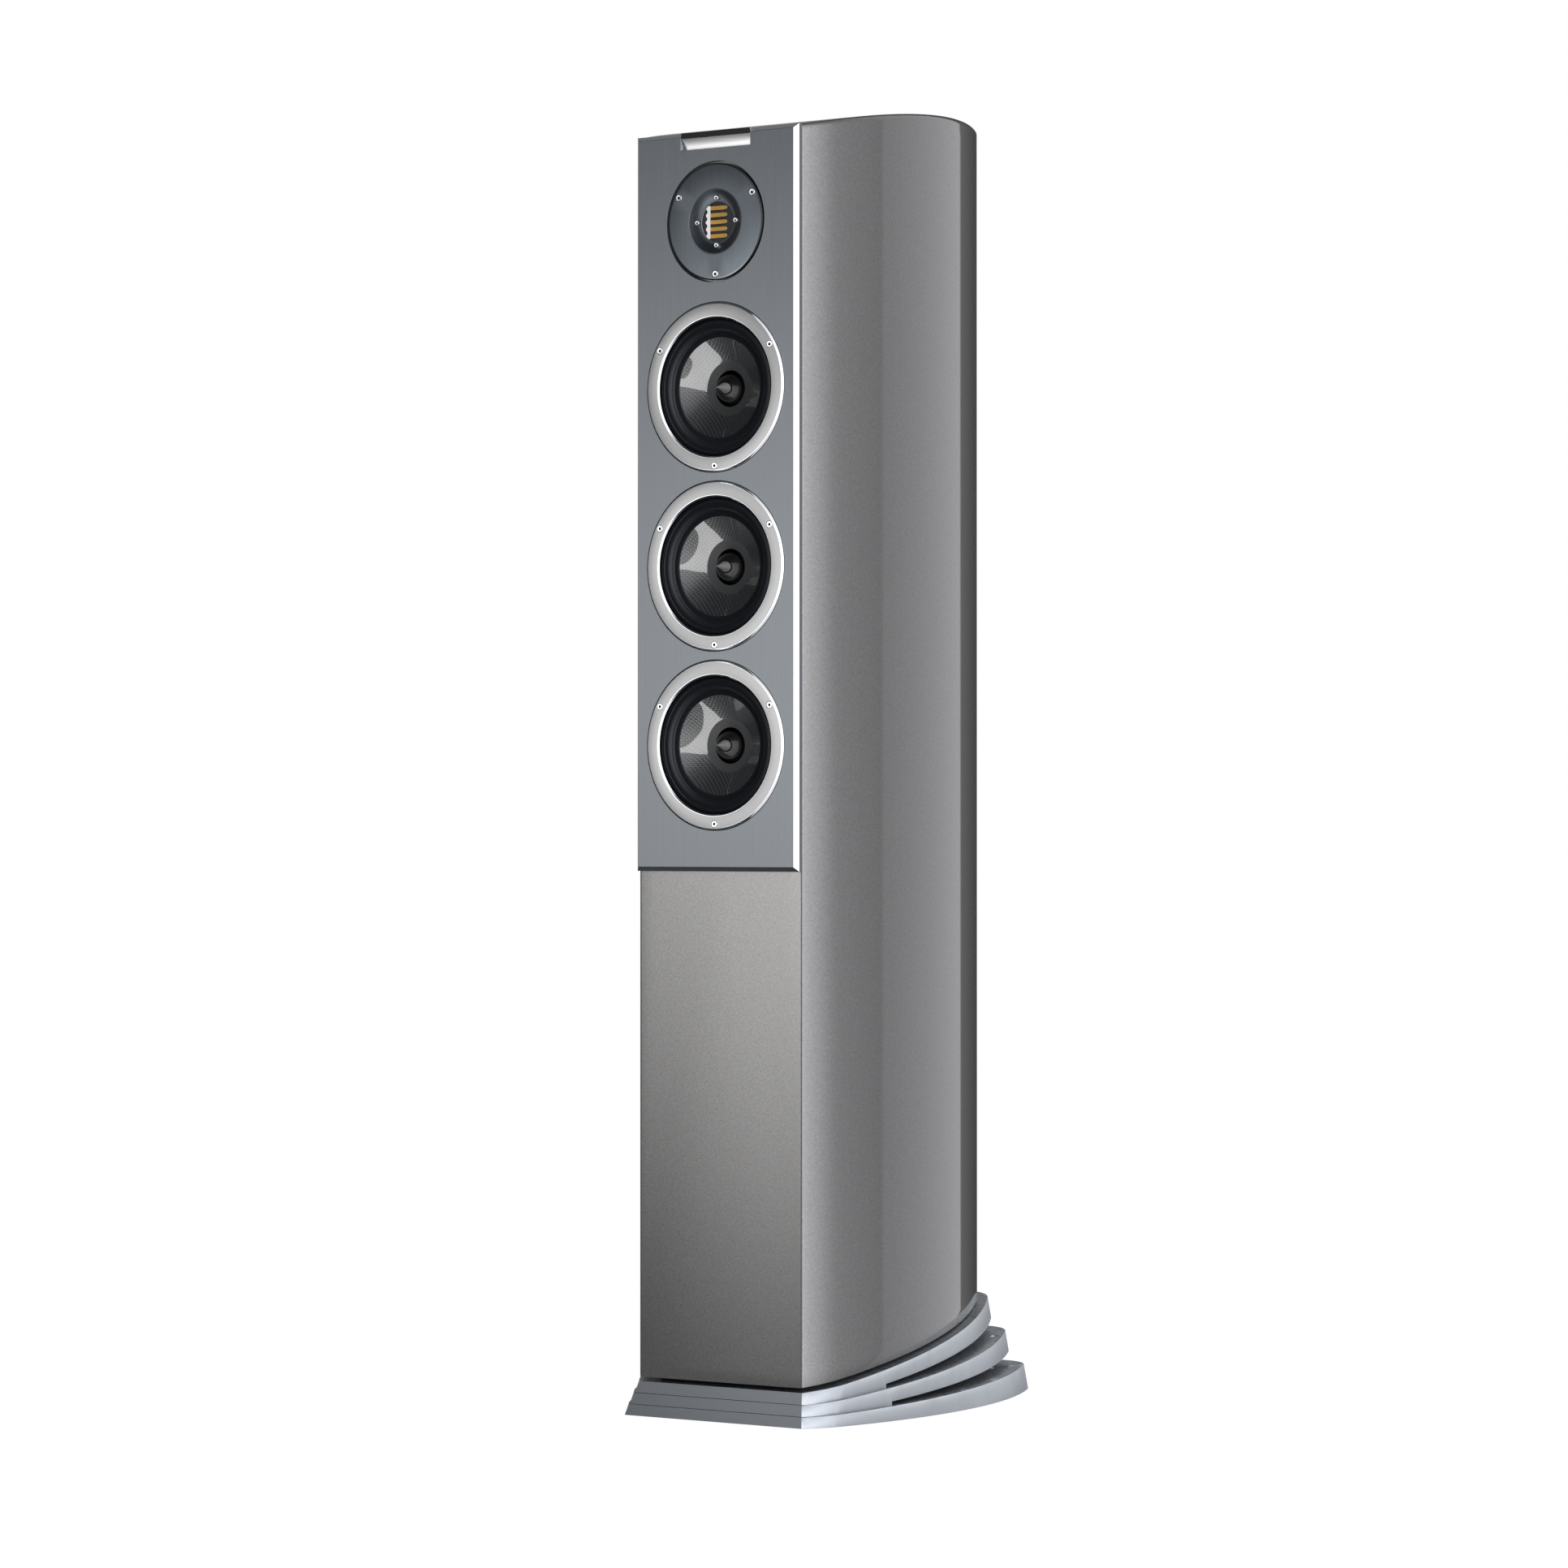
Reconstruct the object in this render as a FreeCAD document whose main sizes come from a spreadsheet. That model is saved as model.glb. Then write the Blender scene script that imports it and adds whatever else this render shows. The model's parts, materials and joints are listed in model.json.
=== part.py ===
import FreeCAD, Part
import math
import os

import Sketcher

# Floorstanding three-woofer loudspeaker, in millimetres.
# +Z is up, the drivers face -Y, and X = 0 is the plane of symmetry.
# The origin is on the floor, under the centre of the base.

SIZES = {
    # cabinet plan, seen from above
    "front_y": (-198.0, "front face of the cabinet"),
    "rear_y": (158.0, "rear face of the cabinet"),
    "front_half": (89.1, "half width at the front corners"),
    "belly_half": (105.6, "half width at the widest place"),
    "belly_y": (-107.0, "where the cabinet is widest"),
    "side_radius": (527.0, "radius of the curved sides in plan"),
    "shoulder": (40.0, "depth of the tighter curve behind the front corner"),
    "rear_fillet": (8.0, "radius of the rear corners"),
    "void_fillet_less": (6.0, "how much sharper the corners of the inside are"),
    "wall": (18.0, "side, rear, top and bottom board"),
    "front_wall": (22.0, "front board"),
    "brace_thick": (14.0, "braces and shelf"),
    # cabinet elevation
    "bottom_front_z": (36.8, "lower front edge"),
    "bottom_slope": (0.14, "rise of the underside per unit of depth"),
    "top_front_z": (1142.8, "upper front edge"),
    "top_radius": (1773.0, "radius of the arched top"),
    "top_crest_y": (154.0, "where the arched top is highest"),
    # base: three splayed plates
    "base_bottom_z": (3.0, "underside of the lowest plate"),
    "plate_front": (9.9, "height of one plate at the front"),
    "base_forward": (12.0, "how far the base stands in front of the cabinet"),
    "base_corner_out": (8.0, "how far its front corner stands out"),
    "base_belly_out": (23.4, "how far its widest place stands out"),
    "base_belly_back": (53.5, "how far its widest place lies further back"),
    "base_back": (52.0, "how far it stands behind the cabinet"),
    "base_fillet": (30.0, "extra radius of its rear corners"),
    "side_set_back": (0.352, "share of the sideways growth lost from plate to plate"),
    "side_splay": (0.0034, "share of the sideways growth lost per millimetre of height"),
    "back_set_back": (0.1, "share of the backward growth lost from plate to plate"),
    "back_splay": (0.0047, "share of the backward growth lost per millimetre of height"),
    "low_seam_slope": (0.035, "rise of the bottom plate's top per unit of depth"),
    "middle_seam_slope": (0.0914, "rise of the middle plate's top per unit of depth"),
    "high_seam_slope": (0.15, "rise of the top plate's top per unit of depth"),
    "slot_y": (-105.0, "front end of the slots between the plates"),
    "slot_height": (3.3, "height of those slots at their front end"),
    "slot_widening": (0.029, "growth of that height per unit of depth"),
    "spacer_inset": (0.67, "set-in of the spacer plate, in board thicknesses"),
    "bolt_radius": (4.0, "base bolt"),
    "bolt_hole": (4.3, "clearance hole of a base bolt"),
    "bolt_head": (7.0, "head of a base bolt"),
    "bolt_head_high": (5.0, "height of that head"),
    "bolt_bite": (12.0, "length of the bolt inside the cabinet bottom"),
    "bolt_front_x": (52.0, "front bolts"),
    "bolt_rear_x": (26.0, "rear bolts"),
    "bolt_front_y": (-140.0, "front bolts"),
    "bolt_rear_y": (110.0, "rear bolts"),
    "foot_radius": (17.0, "levelling foot pad"),
    "foot_high": (9.0, "thickness of that pad"),
    "foot_recess": (18.0, "recess around the pad"),
    "foot_recess_deep": (6.2, "depth of the recess"),
    "foot_stem": (3.4, "levelling screw"),
    "foot_stem_bore": (3.46, "hole of the levelling screw"),
    "foot_stem_top": (24.0, "top end of the levelling screw"),
    "foot_front_x": (82.0, "front feet"),
    "foot_rear_x": (58.0, "rear feet"),
    "foot_front_y": (-150.0, "front feet"),
    "foot_rear_y": (150.0, "rear feet"),
    # fascia plate over the upper front
    "fascia_thick": (7.5, "fascia plate"),
    "fascia_bottom_z": (488.0, "lower edge of the fascia"),
    "fascia_chamfer": (3.8, "chamfer round the fascia"),
    "badge_half": (38.0, "half width of the badge plate"),
    "badge_high": (15.5, "height of the badge plate"),
    "badge_gap": (0.3, "gap round the badge plate"),
    "badge_thick": (6.9, "badge plate"),
    # woofers
    "woofer_low_z": (599.4, "centre of the lowest woofer"),
    "woofer_pitch": (158.2, "distance between woofer centres"),
    "ring_outer": (75.3, "trim ring, outside"),
    "ring_inner": (61.4, "trim ring, inside"),
    "ring_front": (1.5, "how far the ring stands proud of the fascia"),
    "ring_bevel": (1.8, "bevel of the ring's outer edge"),
    "ring_gap": (0.3, "gap between the ring and the fascia"),
    "ring_back": (3.5, "depth of the ring's back face"),
    "flange_step": (1.2, "seat of the surround in the basket flange"),
    "basket_hole": (70.5, "hole in the front board"),
    "basket_neck": (69.5, "outside of the basket behind the flange"),
    "basket_floor": (66.0, "depth of the basket's back face"),
    "basket_floor_radius": (54.0, "outside of the basket's back"),
    "cone_outer": (50.0, "rim of the cone"),
    "cone_edge": (44.3, "where the cone comes out from under the surround"),
    "cone_rim": (7.0, "depth of the cone's rim"),
    "cone_neck": (24.3, "neck of the cone"),
    "cone_neck_deep": (21.0, "depth of the neck"),
    "cone_thick": (1.2, "cone"),
    "collar_inner": (16.0, "hole of the neck collar"),
    "roll_radius": (5.2, "half roll of the surround"),
    "roll_middle": (55.2, "middle circle of the half roll"),
    "rubber": (0.8, "thickness of the surround"),
    "former_inner": (19.0, "voice coil former, inside"),
    "former_outer": (19.6, "voice coil former, outside"),
    "coil_outer": (20.2, "voice coil winding, outside"),
    "coil_front": (62.0, "depth of the winding's front end"),
    "coil_back": (74.0, "depth of the winding's back end"),
    "former_back": (76.0, "depth of the former's back end"),
    "spider_inner": (19.9, "spider, inside"),
    "spider_outer": (56.0, "spider, outside"),
    "spider_deep": (40.0, "depth of the spider"),
    "spider_wave": (1.4, "height of the spider's corrugation"),
    "pole_radius": (18.3, "pole piece"),
    "gap_outer": (21.0, "hole in the front pole plate"),
    "pole_plate_outer": (46.0, "steel plates of the motor"),
    "magnet_outer": (50.0, "magnet ring, outside"),
    "magnet_inner": (27.0, "magnet ring, inside"),
    "plate_thick": (6.0, "steel plates of the motor"),
    "magnet_thick": (16.0, "magnet ring"),
    "vent_radius": (5.0, "vent through the pole piece"),
    "plug_radius": (14.4, "phase plug"),
    "plug_tip": (2.0, "depth of the phase plug's tip"),
    "plug_base": (30.0, "depth where its pointed nose begins"),
    "plug_stem": (9.0, "stem of the phase plug"),
    "screw_circle": (69.6, "circle of the woofer screws"),
    "screw_radius": (2.0, "screw shank"),
    "screw_hole": (2.2, "hole for a screw shank"),
    "screw_head": (3.2, "screw head"),
    "screw_sink": (3.4, "counterbore for a screw head"),
    "screw_head_high": (2.0, "height of a screw head"),
    "screw_deep": (22.0, "depth of the screw's point"),
    # tweeter
    "tweeter_z": (1062.2, "centre of the tweeter"),
    "plate_hole": (53.7, "hole in the fascia round the tweeter"),
    "plate_outer": (51.8, "tweeter faceplate"),
    "dish_outer": (28.9, "seat of the dish ring in the faceplate"),
    "dish_inner": (17.6, "opening of the dish ring"),
    "dish_deep": (4.0, "depth of the dish"),
    "tweeter_hole": (38.0, "hole in the front board"),
    "grid_half": (15.6, "half side of the slotted pole plate"),
    "grid_thick": (1.6, "slotted pole plate"),
    "grid_slot_half": (9.8, "half length of its slots"),
    "grid_slot_high": (4.4, "height of its slots"),
    "grid_pitch": (6.2, "distance between its slots"),
    "pleat_thick": (1.5, "folded ribbon with its film"),
    "tweeter_magnet": (33.0, "tweeter magnet"),
    "tweeter_magnet_deep": (38.0, "depth of the magnet's back"),
    "chamber_outer": (36.0, "rear chamber of the tweeter"),
    "chamber_back": (66.0, "depth of the chamber's back"),
    "chamber_wall": (2.5, "wall of the chamber"),
    "tweeter_screw_circle": (46.5, "outer tweeter screws"),
    "dish_screw_circle": (21.0, "inner tweeter screws"),
    "dish_screw_head": (2.4, "head of an inner tweeter screw"),
    # rear of the cabinet
    "port_z": (262.0, "centre of the port"),
    "port_inner": (20.5, "port, inside"),
    "port_outer": (22.7, "port, outside"),
    "port_flange": (27.0, "port flange"),
    "port_flange_thick": (3.0, "port flange"),
    "port_long": (150.0, "port tube"),
    "terminal_z": (160.0, "centre of the terminal plate"),
    "terminal_half": (24.0, "half width of the terminal plate"),
    "terminal_high": (72.0, "height of the terminal plate"),
    "terminal_thick": (3.0, "terminal plate"),
    "post_spread": (19.0, "half the distance between the terminal posts"),
    "post_radius": (3.9, "threaded post"),
    "post_long": (20.0, "post behind the plate"),
    "socket_radius": (2.0, "socket for a 4 mm plug"),
    "socket_deep": (18.0, "depth of that socket"),
    "collar_radius": (8.5, "insulating collar of a post"),
    "collar_long": (6.0, "length of that collar"),
    "washer_bore": (3.97, "hole of the clamp washer and cap"),
    "washer_radius": (7.2, "clamp washer"),
    "washer_thick": (1.6, "clamp washer"),
    "cap_radius": (7.8, "terminal cap"),
    "cap_long": (11.0, "length of the terminal cap"),
    "board_half": (45.0, "half width of the crossover board"),
    "board_high": (145.0, "height of the crossover board"),
    "board_z": (160.0, "lower edge of the crossover board"),
}

WOOFERS = 3
SCREWS_PER_DRIVER = 3

doc = FreeCAD.newDocument("floorstanding_speaker")
pieces = []


def make_sheet():
    """The spreadsheet with every driving dimension."""
    sheet = doc.addObject("Spreadsheet::Sheet", "dims")
    for row, (alias, (value, meaning)) in enumerate(SIZES.items(), start=1):
        sheet.set(f"A{row}", alias)
        sheet.set(f"B{row}", str(value))
        sheet.set(f"C{row}", meaning)
        sheet.setAlias(f"B{row}", alias)
    doc.recompute()
    return sheet


class Size:
    """A number together with the spreadsheet expression that gives it."""

    def __init__(self, text, value):
        self.text = text
        self.value = value

    @staticmethod
    def of(number):
        if isinstance(number, Size):
            return number
        return Size(f"({number})", float(number))

    def __add__(self, other):
        other = Size.of(other)
        return Size(f"({self.text} + {other.text})", self.value + other.value)

    def __sub__(self, other):
        other = Size.of(other)
        return Size(f"({self.text} - {other.text})", self.value - other.value)

    def __mul__(self, other):
        other = Size.of(other)
        return Size(f"({self.text} * {other.text})", self.value * other.value)

    def __truediv__(self, other):
        other = Size.of(other)
        return Size(f"({self.text} / {other.text})", self.value / other.value)

    def __neg__(self):
        return Size(f"(-{self.text})", -self.value)

    def __radd__(self, other):
        return Size.of(other) + self

    def __rsub__(self, other):
        return Size.of(other) - self

    def __rmul__(self, other):
        return Size.of(other) * self


class Dims:
    """Gives each spreadsheet alias as a Size: d.wall, d.front_y."""

    def __init__(self, sheet):
        self.sheet = sheet

    def __getattr__(self, alias):
        return Size(f"dims.{alias}", float(self.sheet.get(alias)))


d = Dims(make_sheet())
ZERO = Size.of(0)


def cosine(angle):
    return Size(f"cos({angle})", math.cos(math.radians(angle)))


def sine(angle):
    return Size(f"sin({angle})", math.sin(math.radians(angle)))


# ---------------------------------------------------------------- sketches

def new_body(label):
    body = doc.addObject("PartDesign::Body", label)
    body.Label = label
    return body


def keep(piece):
    """Marks an object as one of the speaker's sub-parts."""
    pieces.append(piece)
    return piece


def bind(thing, name, size):
    thing.setExpression(name, Size.of(size).text)


def new_sketch(body, role, name, height=ZERO):
    """A sketch on one of the body's origin planes, raised along its normal."""
    sketch = body.newObject("Sketcher::SketchObject", name)
    plane = next(p for p in body.Origin.OriginFeatures if p.Role == role)
    sketch.AttachmentSupport = [(plane, "")]
    sketch.MapMode = "FlatFace"
    bind(sketch, "AttachmentOffset.Base.z", height)
    return sketch


def fix_point(sketch, curve, end, x, y):
    """Binds one end of a curve to its place in the sketch."""
    for kind, size in (("DistanceX", x), ("DistanceY", y)):
        size = Size.of(size)
        index = sketch.addConstraint(
            Sketcher.Constraint(kind, -1, 1, curve, end, size.value)
        )
        bind(sketch, f"Constraints[{index}]", size)


def polygon(sketch, corners):
    """A closed outline of straight lines through the given corners."""
    corners = [(Size.of(x), Size.of(y)) for x, y in corners]
    points = [FreeCAD.Vector(x.value, y.value, 0) for x, y in corners]
    following = points[1:] + points[:1]
    lines = [
        sketch.addGeometry(Part.LineSegment(start, stop))
        for start, stop in zip(points, following)
    ]
    for line, after in zip(lines, lines[1:] + lines[:1]):
        sketch.addConstraint(Sketcher.Constraint("Coincident", line, 2, after, 1))
    for line, (x, y) in zip(lines, corners):
        fix_point(sketch, line, 1, x, y)


def circle(sketch, radius, x=ZERO, y=ZERO):
    centre = FreeCAD.Vector(Size.of(x).value, Size.of(y).value, 0)
    up = FreeCAD.Vector(0, 0, 1)
    curve = sketch.addGeometry(Part.Circle(centre, up, radius.value))
    index = sketch.addConstraint(Sketcher.Constraint("Radius", curve, radius.value))
    bind(sketch, f"Constraints[{index}]", radius)
    fix_point(sketch, curve, 3, x, y)


# ---------------------------------------------------------------- features

def pad(body, sketch, length):
    feature = body.newObject("PartDesign::Pad", "Pad")
    feature.Profile = sketch
    bind(feature, "Length", length)
    sketch.Visibility = False
    doc.recompute()
    return feature


def pocket(body, sketch, depth=None, backwards=False):
    """Cuts a sketch out of the body, to a depth, or right through both ways."""
    before = body.Shape.Volume
    feature = body.newObject("PartDesign::Pocket", "Pocket")
    feature.Profile = sketch
    if depth is None:
        feature.Type = 1
        feature.Midplane = True
    else:
        bind(feature, "Length", depth)
        feature.Reversed = backwards
    doc.recompute()
    if body.Shape.Volume >= before:
        raise RuntimeError(f"{body.Label}: a pocket cuts nothing")
    return feature


def polar(body, feature, count):
    """Repeats a feature round the body's own Z axis."""
    pattern = body.newObject("PartDesign::PolarPattern", "PolarPattern")
    pattern.Originals = [feature]
    axis = next(a for a in body.Origin.OriginFeatures if a.Role == "Z_Axis")
    pattern.Axis = (axis, [""])
    pattern.Angle = 360
    pattern.Occurrences = count
    body.Tip = pattern
    doc.recompute()
    return pattern


def turned(label, corners):
    """A body of revolution about its own Z axis; corners are (radius, height)."""
    body = new_body(label)
    sketch = new_sketch(body, "XZ_Plane", "HalfSection")
    polygon(sketch, corners)
    feature = body.newObject("PartDesign::Revolution", "Revolution")
    feature.Profile = sketch
    feature.ReferenceAxis = (sketch, ["V_Axis"])
    feature.Angle = 360
    doc.recompute()
    return body


def place(piece, x, y, z, rotation=None):
    if rotation is not None:
        piece.Placement = FreeCAD.Placement(FreeCAD.Vector(0, 0, 0), rotation)
    bind(piece, "Placement.Base.x", x)
    bind(piece, "Placement.Base.y", y)
    bind(piece, "Placement.Base.z", z)
    return piece


FORWARD = FreeCAD.Rotation(FreeCAD.Vector(1, 0, 0), 90)
BACKWARD = FreeCAD.Rotation(FreeCAD.Vector(1, 0, 0), -90)


# ---------------------------------------------------------------- primitives

def box(name, low, high):
    """A block between two corners, each given as (x, y, z)."""
    block = doc.addObject("Part::Box", name)
    for side, start, stop in zip(("Length", "Width", "Height"), low, high):
        bind(block, side, Size.of(stop) - Size.of(start))
    return place(block, *low)


def rod(name, radius, length, x, y, z, rotation=None):
    """A cylinder whose axis starts at x, y, z, upright unless it is rotated."""
    cylinder = doc.addObject("Part::Cylinder", name)
    bind(cylinder, "Radius", radius)
    bind(cylinder, "Height", length)
    return place(cylinder, x, y, z, rotation)


def fuse(name, shapes):
    union = doc.addObject("Part::MultiFuse", name)
    union.Shapes = shapes
    return union


def cut(label, base, tool):
    piece = doc.addObject("Part::Cut", label)
    piece.Label = label
    piece.Base = base
    piece.Tool = tool
    return piece


def common(label, base, tool):
    piece = doc.addObject("Part::Common", label)
    piece.Label = label
    piece.Base = base
    piece.Tool = tool
    return piece


def group(label, shapes):
    """Several separate solids of one kind, kept as one sub-part."""
    compound = doc.addObject("Part::Compound", label)
    compound.Label = label
    compound.Links = shapes
    return compound


# ---------------------------------------------------------------- plan outline

def plan_outline(
    body, name, level,
    front_share=ZERO, side_share=ZERO, back_share=ZERO, rounding=ZERO, inset=ZERO,
):
    """The lute-shaped outline seen from above, at one level.

    It runs from a flat front through a tight shoulder and a long curved side
    to a rounded rear corner. The shares grow it towards the outline that the
    base has on the floor, and the rounding adds to the rear corner's radius;
    the inset shrinks it by board thicknesses.
    """
    front_y = d.front_y - front_share * d.base_forward + inset * d.front_wall
    front_half = d.front_half + front_share * d.base_corner_out - inset * d.wall
    rear_y = d.rear_y + back_share * d.base_back - inset * d.wall
    belly_half = d.belly_half + side_share * d.base_belly_out - inset * d.wall
    belly_y = d.belly_y + side_share * d.base_belly_back
    side_radius = d.side_radius - inset * d.wall
    fillet = d.rear_fillet + rounding - inset * d.void_fillet_less
    side_x = belly_half - side_radius
    shoulder_y = front_y + d.shoulder

    side = FreeCAD.Vector(side_x.value, belly_y.value, 0)
    front = FreeCAD.Vector(front_half.value, front_y.value, 0)
    rise = shoulder_y.value - side.y
    shoulder = side + FreeCAD.Vector(math.sqrt(side_radius.value**2 - rise**2), rise, 0)
    inward = (side - shoulder).normalize()
    chord = shoulder - front
    tight = shoulder - inward * (chord.Length**2 / (2 * inward.dot(chord)))
    reach = side_radius.value - fillet.value
    drop = rear_y.value - fillet.value - side.y
    corner = side + FreeCAD.Vector(math.sqrt(reach**2 - drop**2), drop, 0)
    turn = side + (corner - side) * (side_radius.value / reach)
    rear = FreeCAD.Vector(corner.x, rear_y.value, 0)

    sketch = new_sketch(body, "XY_Plane", name, level)
    right = [(tight, front, shoulder), (side, shoulder, turn), (corner, turn, rear)]
    left = [tuple(mirrored(p) for p in (c, b, a)) for c, a, b in reversed(right)]
    sketch.addGeometry(Part.LineSegment(mirrored(front), front))
    for centre, start, stop in right:
        sketch.addGeometry(arc(centre, start, stop))
    sketch.addGeometry(Part.LineSegment(rear, mirrored(rear)))
    for centre, start, stop in left:
        sketch.addGeometry(arc(centre, start, stop))

    front_line, side_right, fillet_right, rear_line, side_left = 0, 2, 3, 4, 6
    edges = 8
    for edge in range(edges):
        after = (edge + 1) % edges
        kind = "Coincident" if front_line in (edge, after) else "Tangent"
        sketch.addConstraint(Sketcher.Constraint(kind, edge, 2, after, 1))
    mirror_pairs = [
        (front_line, 1, front_line, 2),
        (side_right, 1, side_left, 2),
        (side_right, 2, side_left, 1),
        (rear_line, 1, rear_line, 2),
    ]
    for first, first_end, second, second_end in mirror_pairs:
        sketch.addConstraint(
            Sketcher.Constraint("Symmetric", first, first_end, second, second_end, -2)
        )
    for curve, radius in ((side_right, side_radius), (fillet_right, fillet)):
        index = sketch.addConstraint(Sketcher.Constraint("Radius", curve, radius.value))
        bind(sketch, f"Constraints[{index}]", radius)
    fix_point(sketch, front_line, 2, front_half, front_y)
    fix_point(sketch, side_right, 3, side_x, belly_y)
    for curve, end, size in ((side_right, 1, shoulder_y), (rear_line, 1, rear_y)):
        index = sketch.addConstraint(
            Sketcher.Constraint("DistanceY", -1, 1, curve, end, size.value)
        )
        bind(sketch, f"Constraints[{index}]", size)
    return sketch


def mirrored(point):
    return FreeCAD.Vector(-point.x, point.y, point.z)


def arc(centre, start, stop):
    """The arc that turns anticlockwise from start to stop."""
    up = FreeCAD.Vector(0, 0, 1)
    radius = (start - centre).Length
    first = math.atan2(start.y - centre.y, start.x - centre.x)
    last = math.atan2(stop.y - centre.y, stop.x - centre.x)
    if last < first:
        last += 2 * math.pi
    return Part.ArcOfCircle(Part.Circle(centre, up, radius), first, last)


# ---------------------------------------------------------------- cabinet

HIGH = Size.of(1300)


def underside_z(y):
    """Height of the sloping underside of the cabinet at a depth y."""
    return d.bottom_front_z + d.bottom_slope * (y - d.front_y)


def cabinet_core(name, inset, end_inset):
    """The cabinet's outer form, with its walls and its ends set in."""
    body = new_body(name)
    pad(body, plan_outline(body, "Plan", ZERO, inset=inset), HIGH)

    under = new_sketch(body, "YZ_Plane", "Underside")
    low_y, high_y = Size.of(-400), Size.of(400)
    raised = end_inset * d.wall
    polygon(under, [
        (low_y, Size.of(-10)),
        (high_y, Size.of(-10)),
        (high_y, underside_z(high_y) + raised),
        (low_y, underside_z(low_y) + raised),
    ])
    pocket(body, under)

    over = new_sketch(body, "YZ_Plane", "ArchedTop")
    circle(over, d.top_radius * 2)
    arch_radius = d.top_radius - raised
    circle(over, arch_radius, d.top_crest_y, arch_centre_z())
    pocket(body, over)
    return body


def arch_centre_z():
    """The arched top's centre, level with which its front edge has its height."""
    run = d.top_crest_y - d.front_y
    rise = Size(
        f"sqrt({d.top_radius.text}^2 - {run.text}^2)",
        math.sqrt(d.top_radius.value**2 - run.value**2),
    )
    return d.top_front_z - rise


def woofer_centres():
    return [d.woofer_low_z + d.woofer_pitch * step for step in range(WOOFERS)]


def screw_angles():
    """Bottom, upper right and upper left."""
    return [-90 + 360 * step / SCREWS_PER_DRIVER for step in range(SCREWS_PER_DRIVER)]


def board_holes():
    """Everything that is bored through the front board."""
    start = d.front_y - 5
    deep = d.front_wall + 10
    tools = [rod("TweeterHole", d.tweeter_hole, deep, ZERO, start, d.tweeter_z, BACKWARD)]
    circles = [(z, d.screw_circle) for z in woofer_centres()]
    for z, _ in circles:
        tools.append(rod("WooferHole", d.basket_hole, deep, ZERO, start, z, BACKWARD))
    for centre_z, reach in circles + [(d.tweeter_z, d.tweeter_screw_circle)]:
        for angle in screw_angles():
            x, z = reach * cosine(angle), centre_z + reach * sine(angle)
            tools.append(rod("ScrewHole", d.screw_hole, deep, x, start, z, BACKWARD))
    return fuse("BoardHoles", tools)


def cabinet():
    outline = cabinet_core("CabinetOutline", ZERO, ZERO)
    walls = cabinet_core("CabinetWalls", ZERO, Size.of(1))
    void = cabinet_core("CabinetVoid", Size.of(1), Size.of(1))
    ends = cut("CabinetEnds", outline, walls)
    wide = Size.of(200)
    middle = Size.of(600)
    front_seam = d.front_y + d.front_wall
    rear_seam = d.rear_y - d.wall

    upper = box("UpperHalf", (-wide, -wide * 2, middle), (wide, wide * 2, HIGH))
    lower = box("LowerHalf", (-wide, -wide * 2, ZERO), (wide, wide * 2, middle))
    keep(common("top_panel", ends, upper))
    bottom = common("BottomBoard", ends, lower)
    keep(cut("bottom_panel", bottom, bolt_shanks("BottomBoardHoles", d.bolt_hole)))

    front_zone = box("FrontZone", (-wide, -wide * 2, ZERO), (wide, front_seam, HIGH))
    keep(cut("front_panel", common("FrontBoard", walls, front_zone), board_holes()))

    rear_zone = box("RearZone", (-wide, rear_seam, ZERO), (wide, wide * 2, HIGH))
    rear_holes = [
        rod("PortHole", d.port_outer + 0.3, d.wall * 2, ZERO, rear_seam - 5, d.port_z, BACKWARD)
    ]
    for side in (-1, 1):
        z = d.terminal_z + d.post_spread * side
        rear_holes.append(
            rod("PostHole", d.collar_radius, d.wall * 2, ZERO, rear_seam - 5, z, BACKWARD)
        )
        screw_z = d.terminal_z + (d.terminal_high / 2 - 5) * side
        rear_holes.append(
            rod("PlateScrewHole", d.screw_hole, d.wall * 2, ZERO, rear_seam - 5, screw_z, BACKWARD)
        )
    rear_board = common("RearBoard", walls, rear_zone)
    keep(cut("rear_panel", rear_board, fuse("RearHoles", rear_holes)))

    shell = cut("SideShell", walls, void)
    for name, low_x, high_x in (("left", -wide, ZERO), ("right", ZERO, wide)):
        zone = box(f"Zone_{name}", (low_x, front_seam, ZERO), (high_x, rear_seam, HIGH))
        keep(common(f"side_panel_{name}", shell, zone))

    keep(braces(void, front_seam, rear_seam))


def braces(void, front_seam, rear_seam):
    """Window braces between the woofers, and the closed shelf under the tweeter."""
    wide = Size.of(200)
    thick = d.brace_thick
    lowest = d.woofer_low_z - thick / 2
    levels = [lowest + d.woofer_pitch * step for step in (-1.8, -0.5, 0.5, 1.5)]
    shelf_z = lowest + d.woofer_pitch * 2.5
    boards = [
        box("Brace", (-wide, front_seam, z), (wide, rear_seam, z + thick))
        for z in levels + [shelf_z]
    ]
    frame = Size.of(30)
    front_window = (Size.of(50), front_seam + frame, ZERO)
    rear_window = (Size.of(35), Size.of(20), rear_seam - frame)
    windows = [
        box("Window", (-half, start, z - 2), (half, stop, z + thick + 2))
        for half, start, stop in (front_window, rear_window)
        for z in levels
    ]
    solid = common("BraceBoards", void, fuse("BraceZones", boards))
    return cut("cabinet_braces", solid, fuse("BraceWindows", windows))


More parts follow.
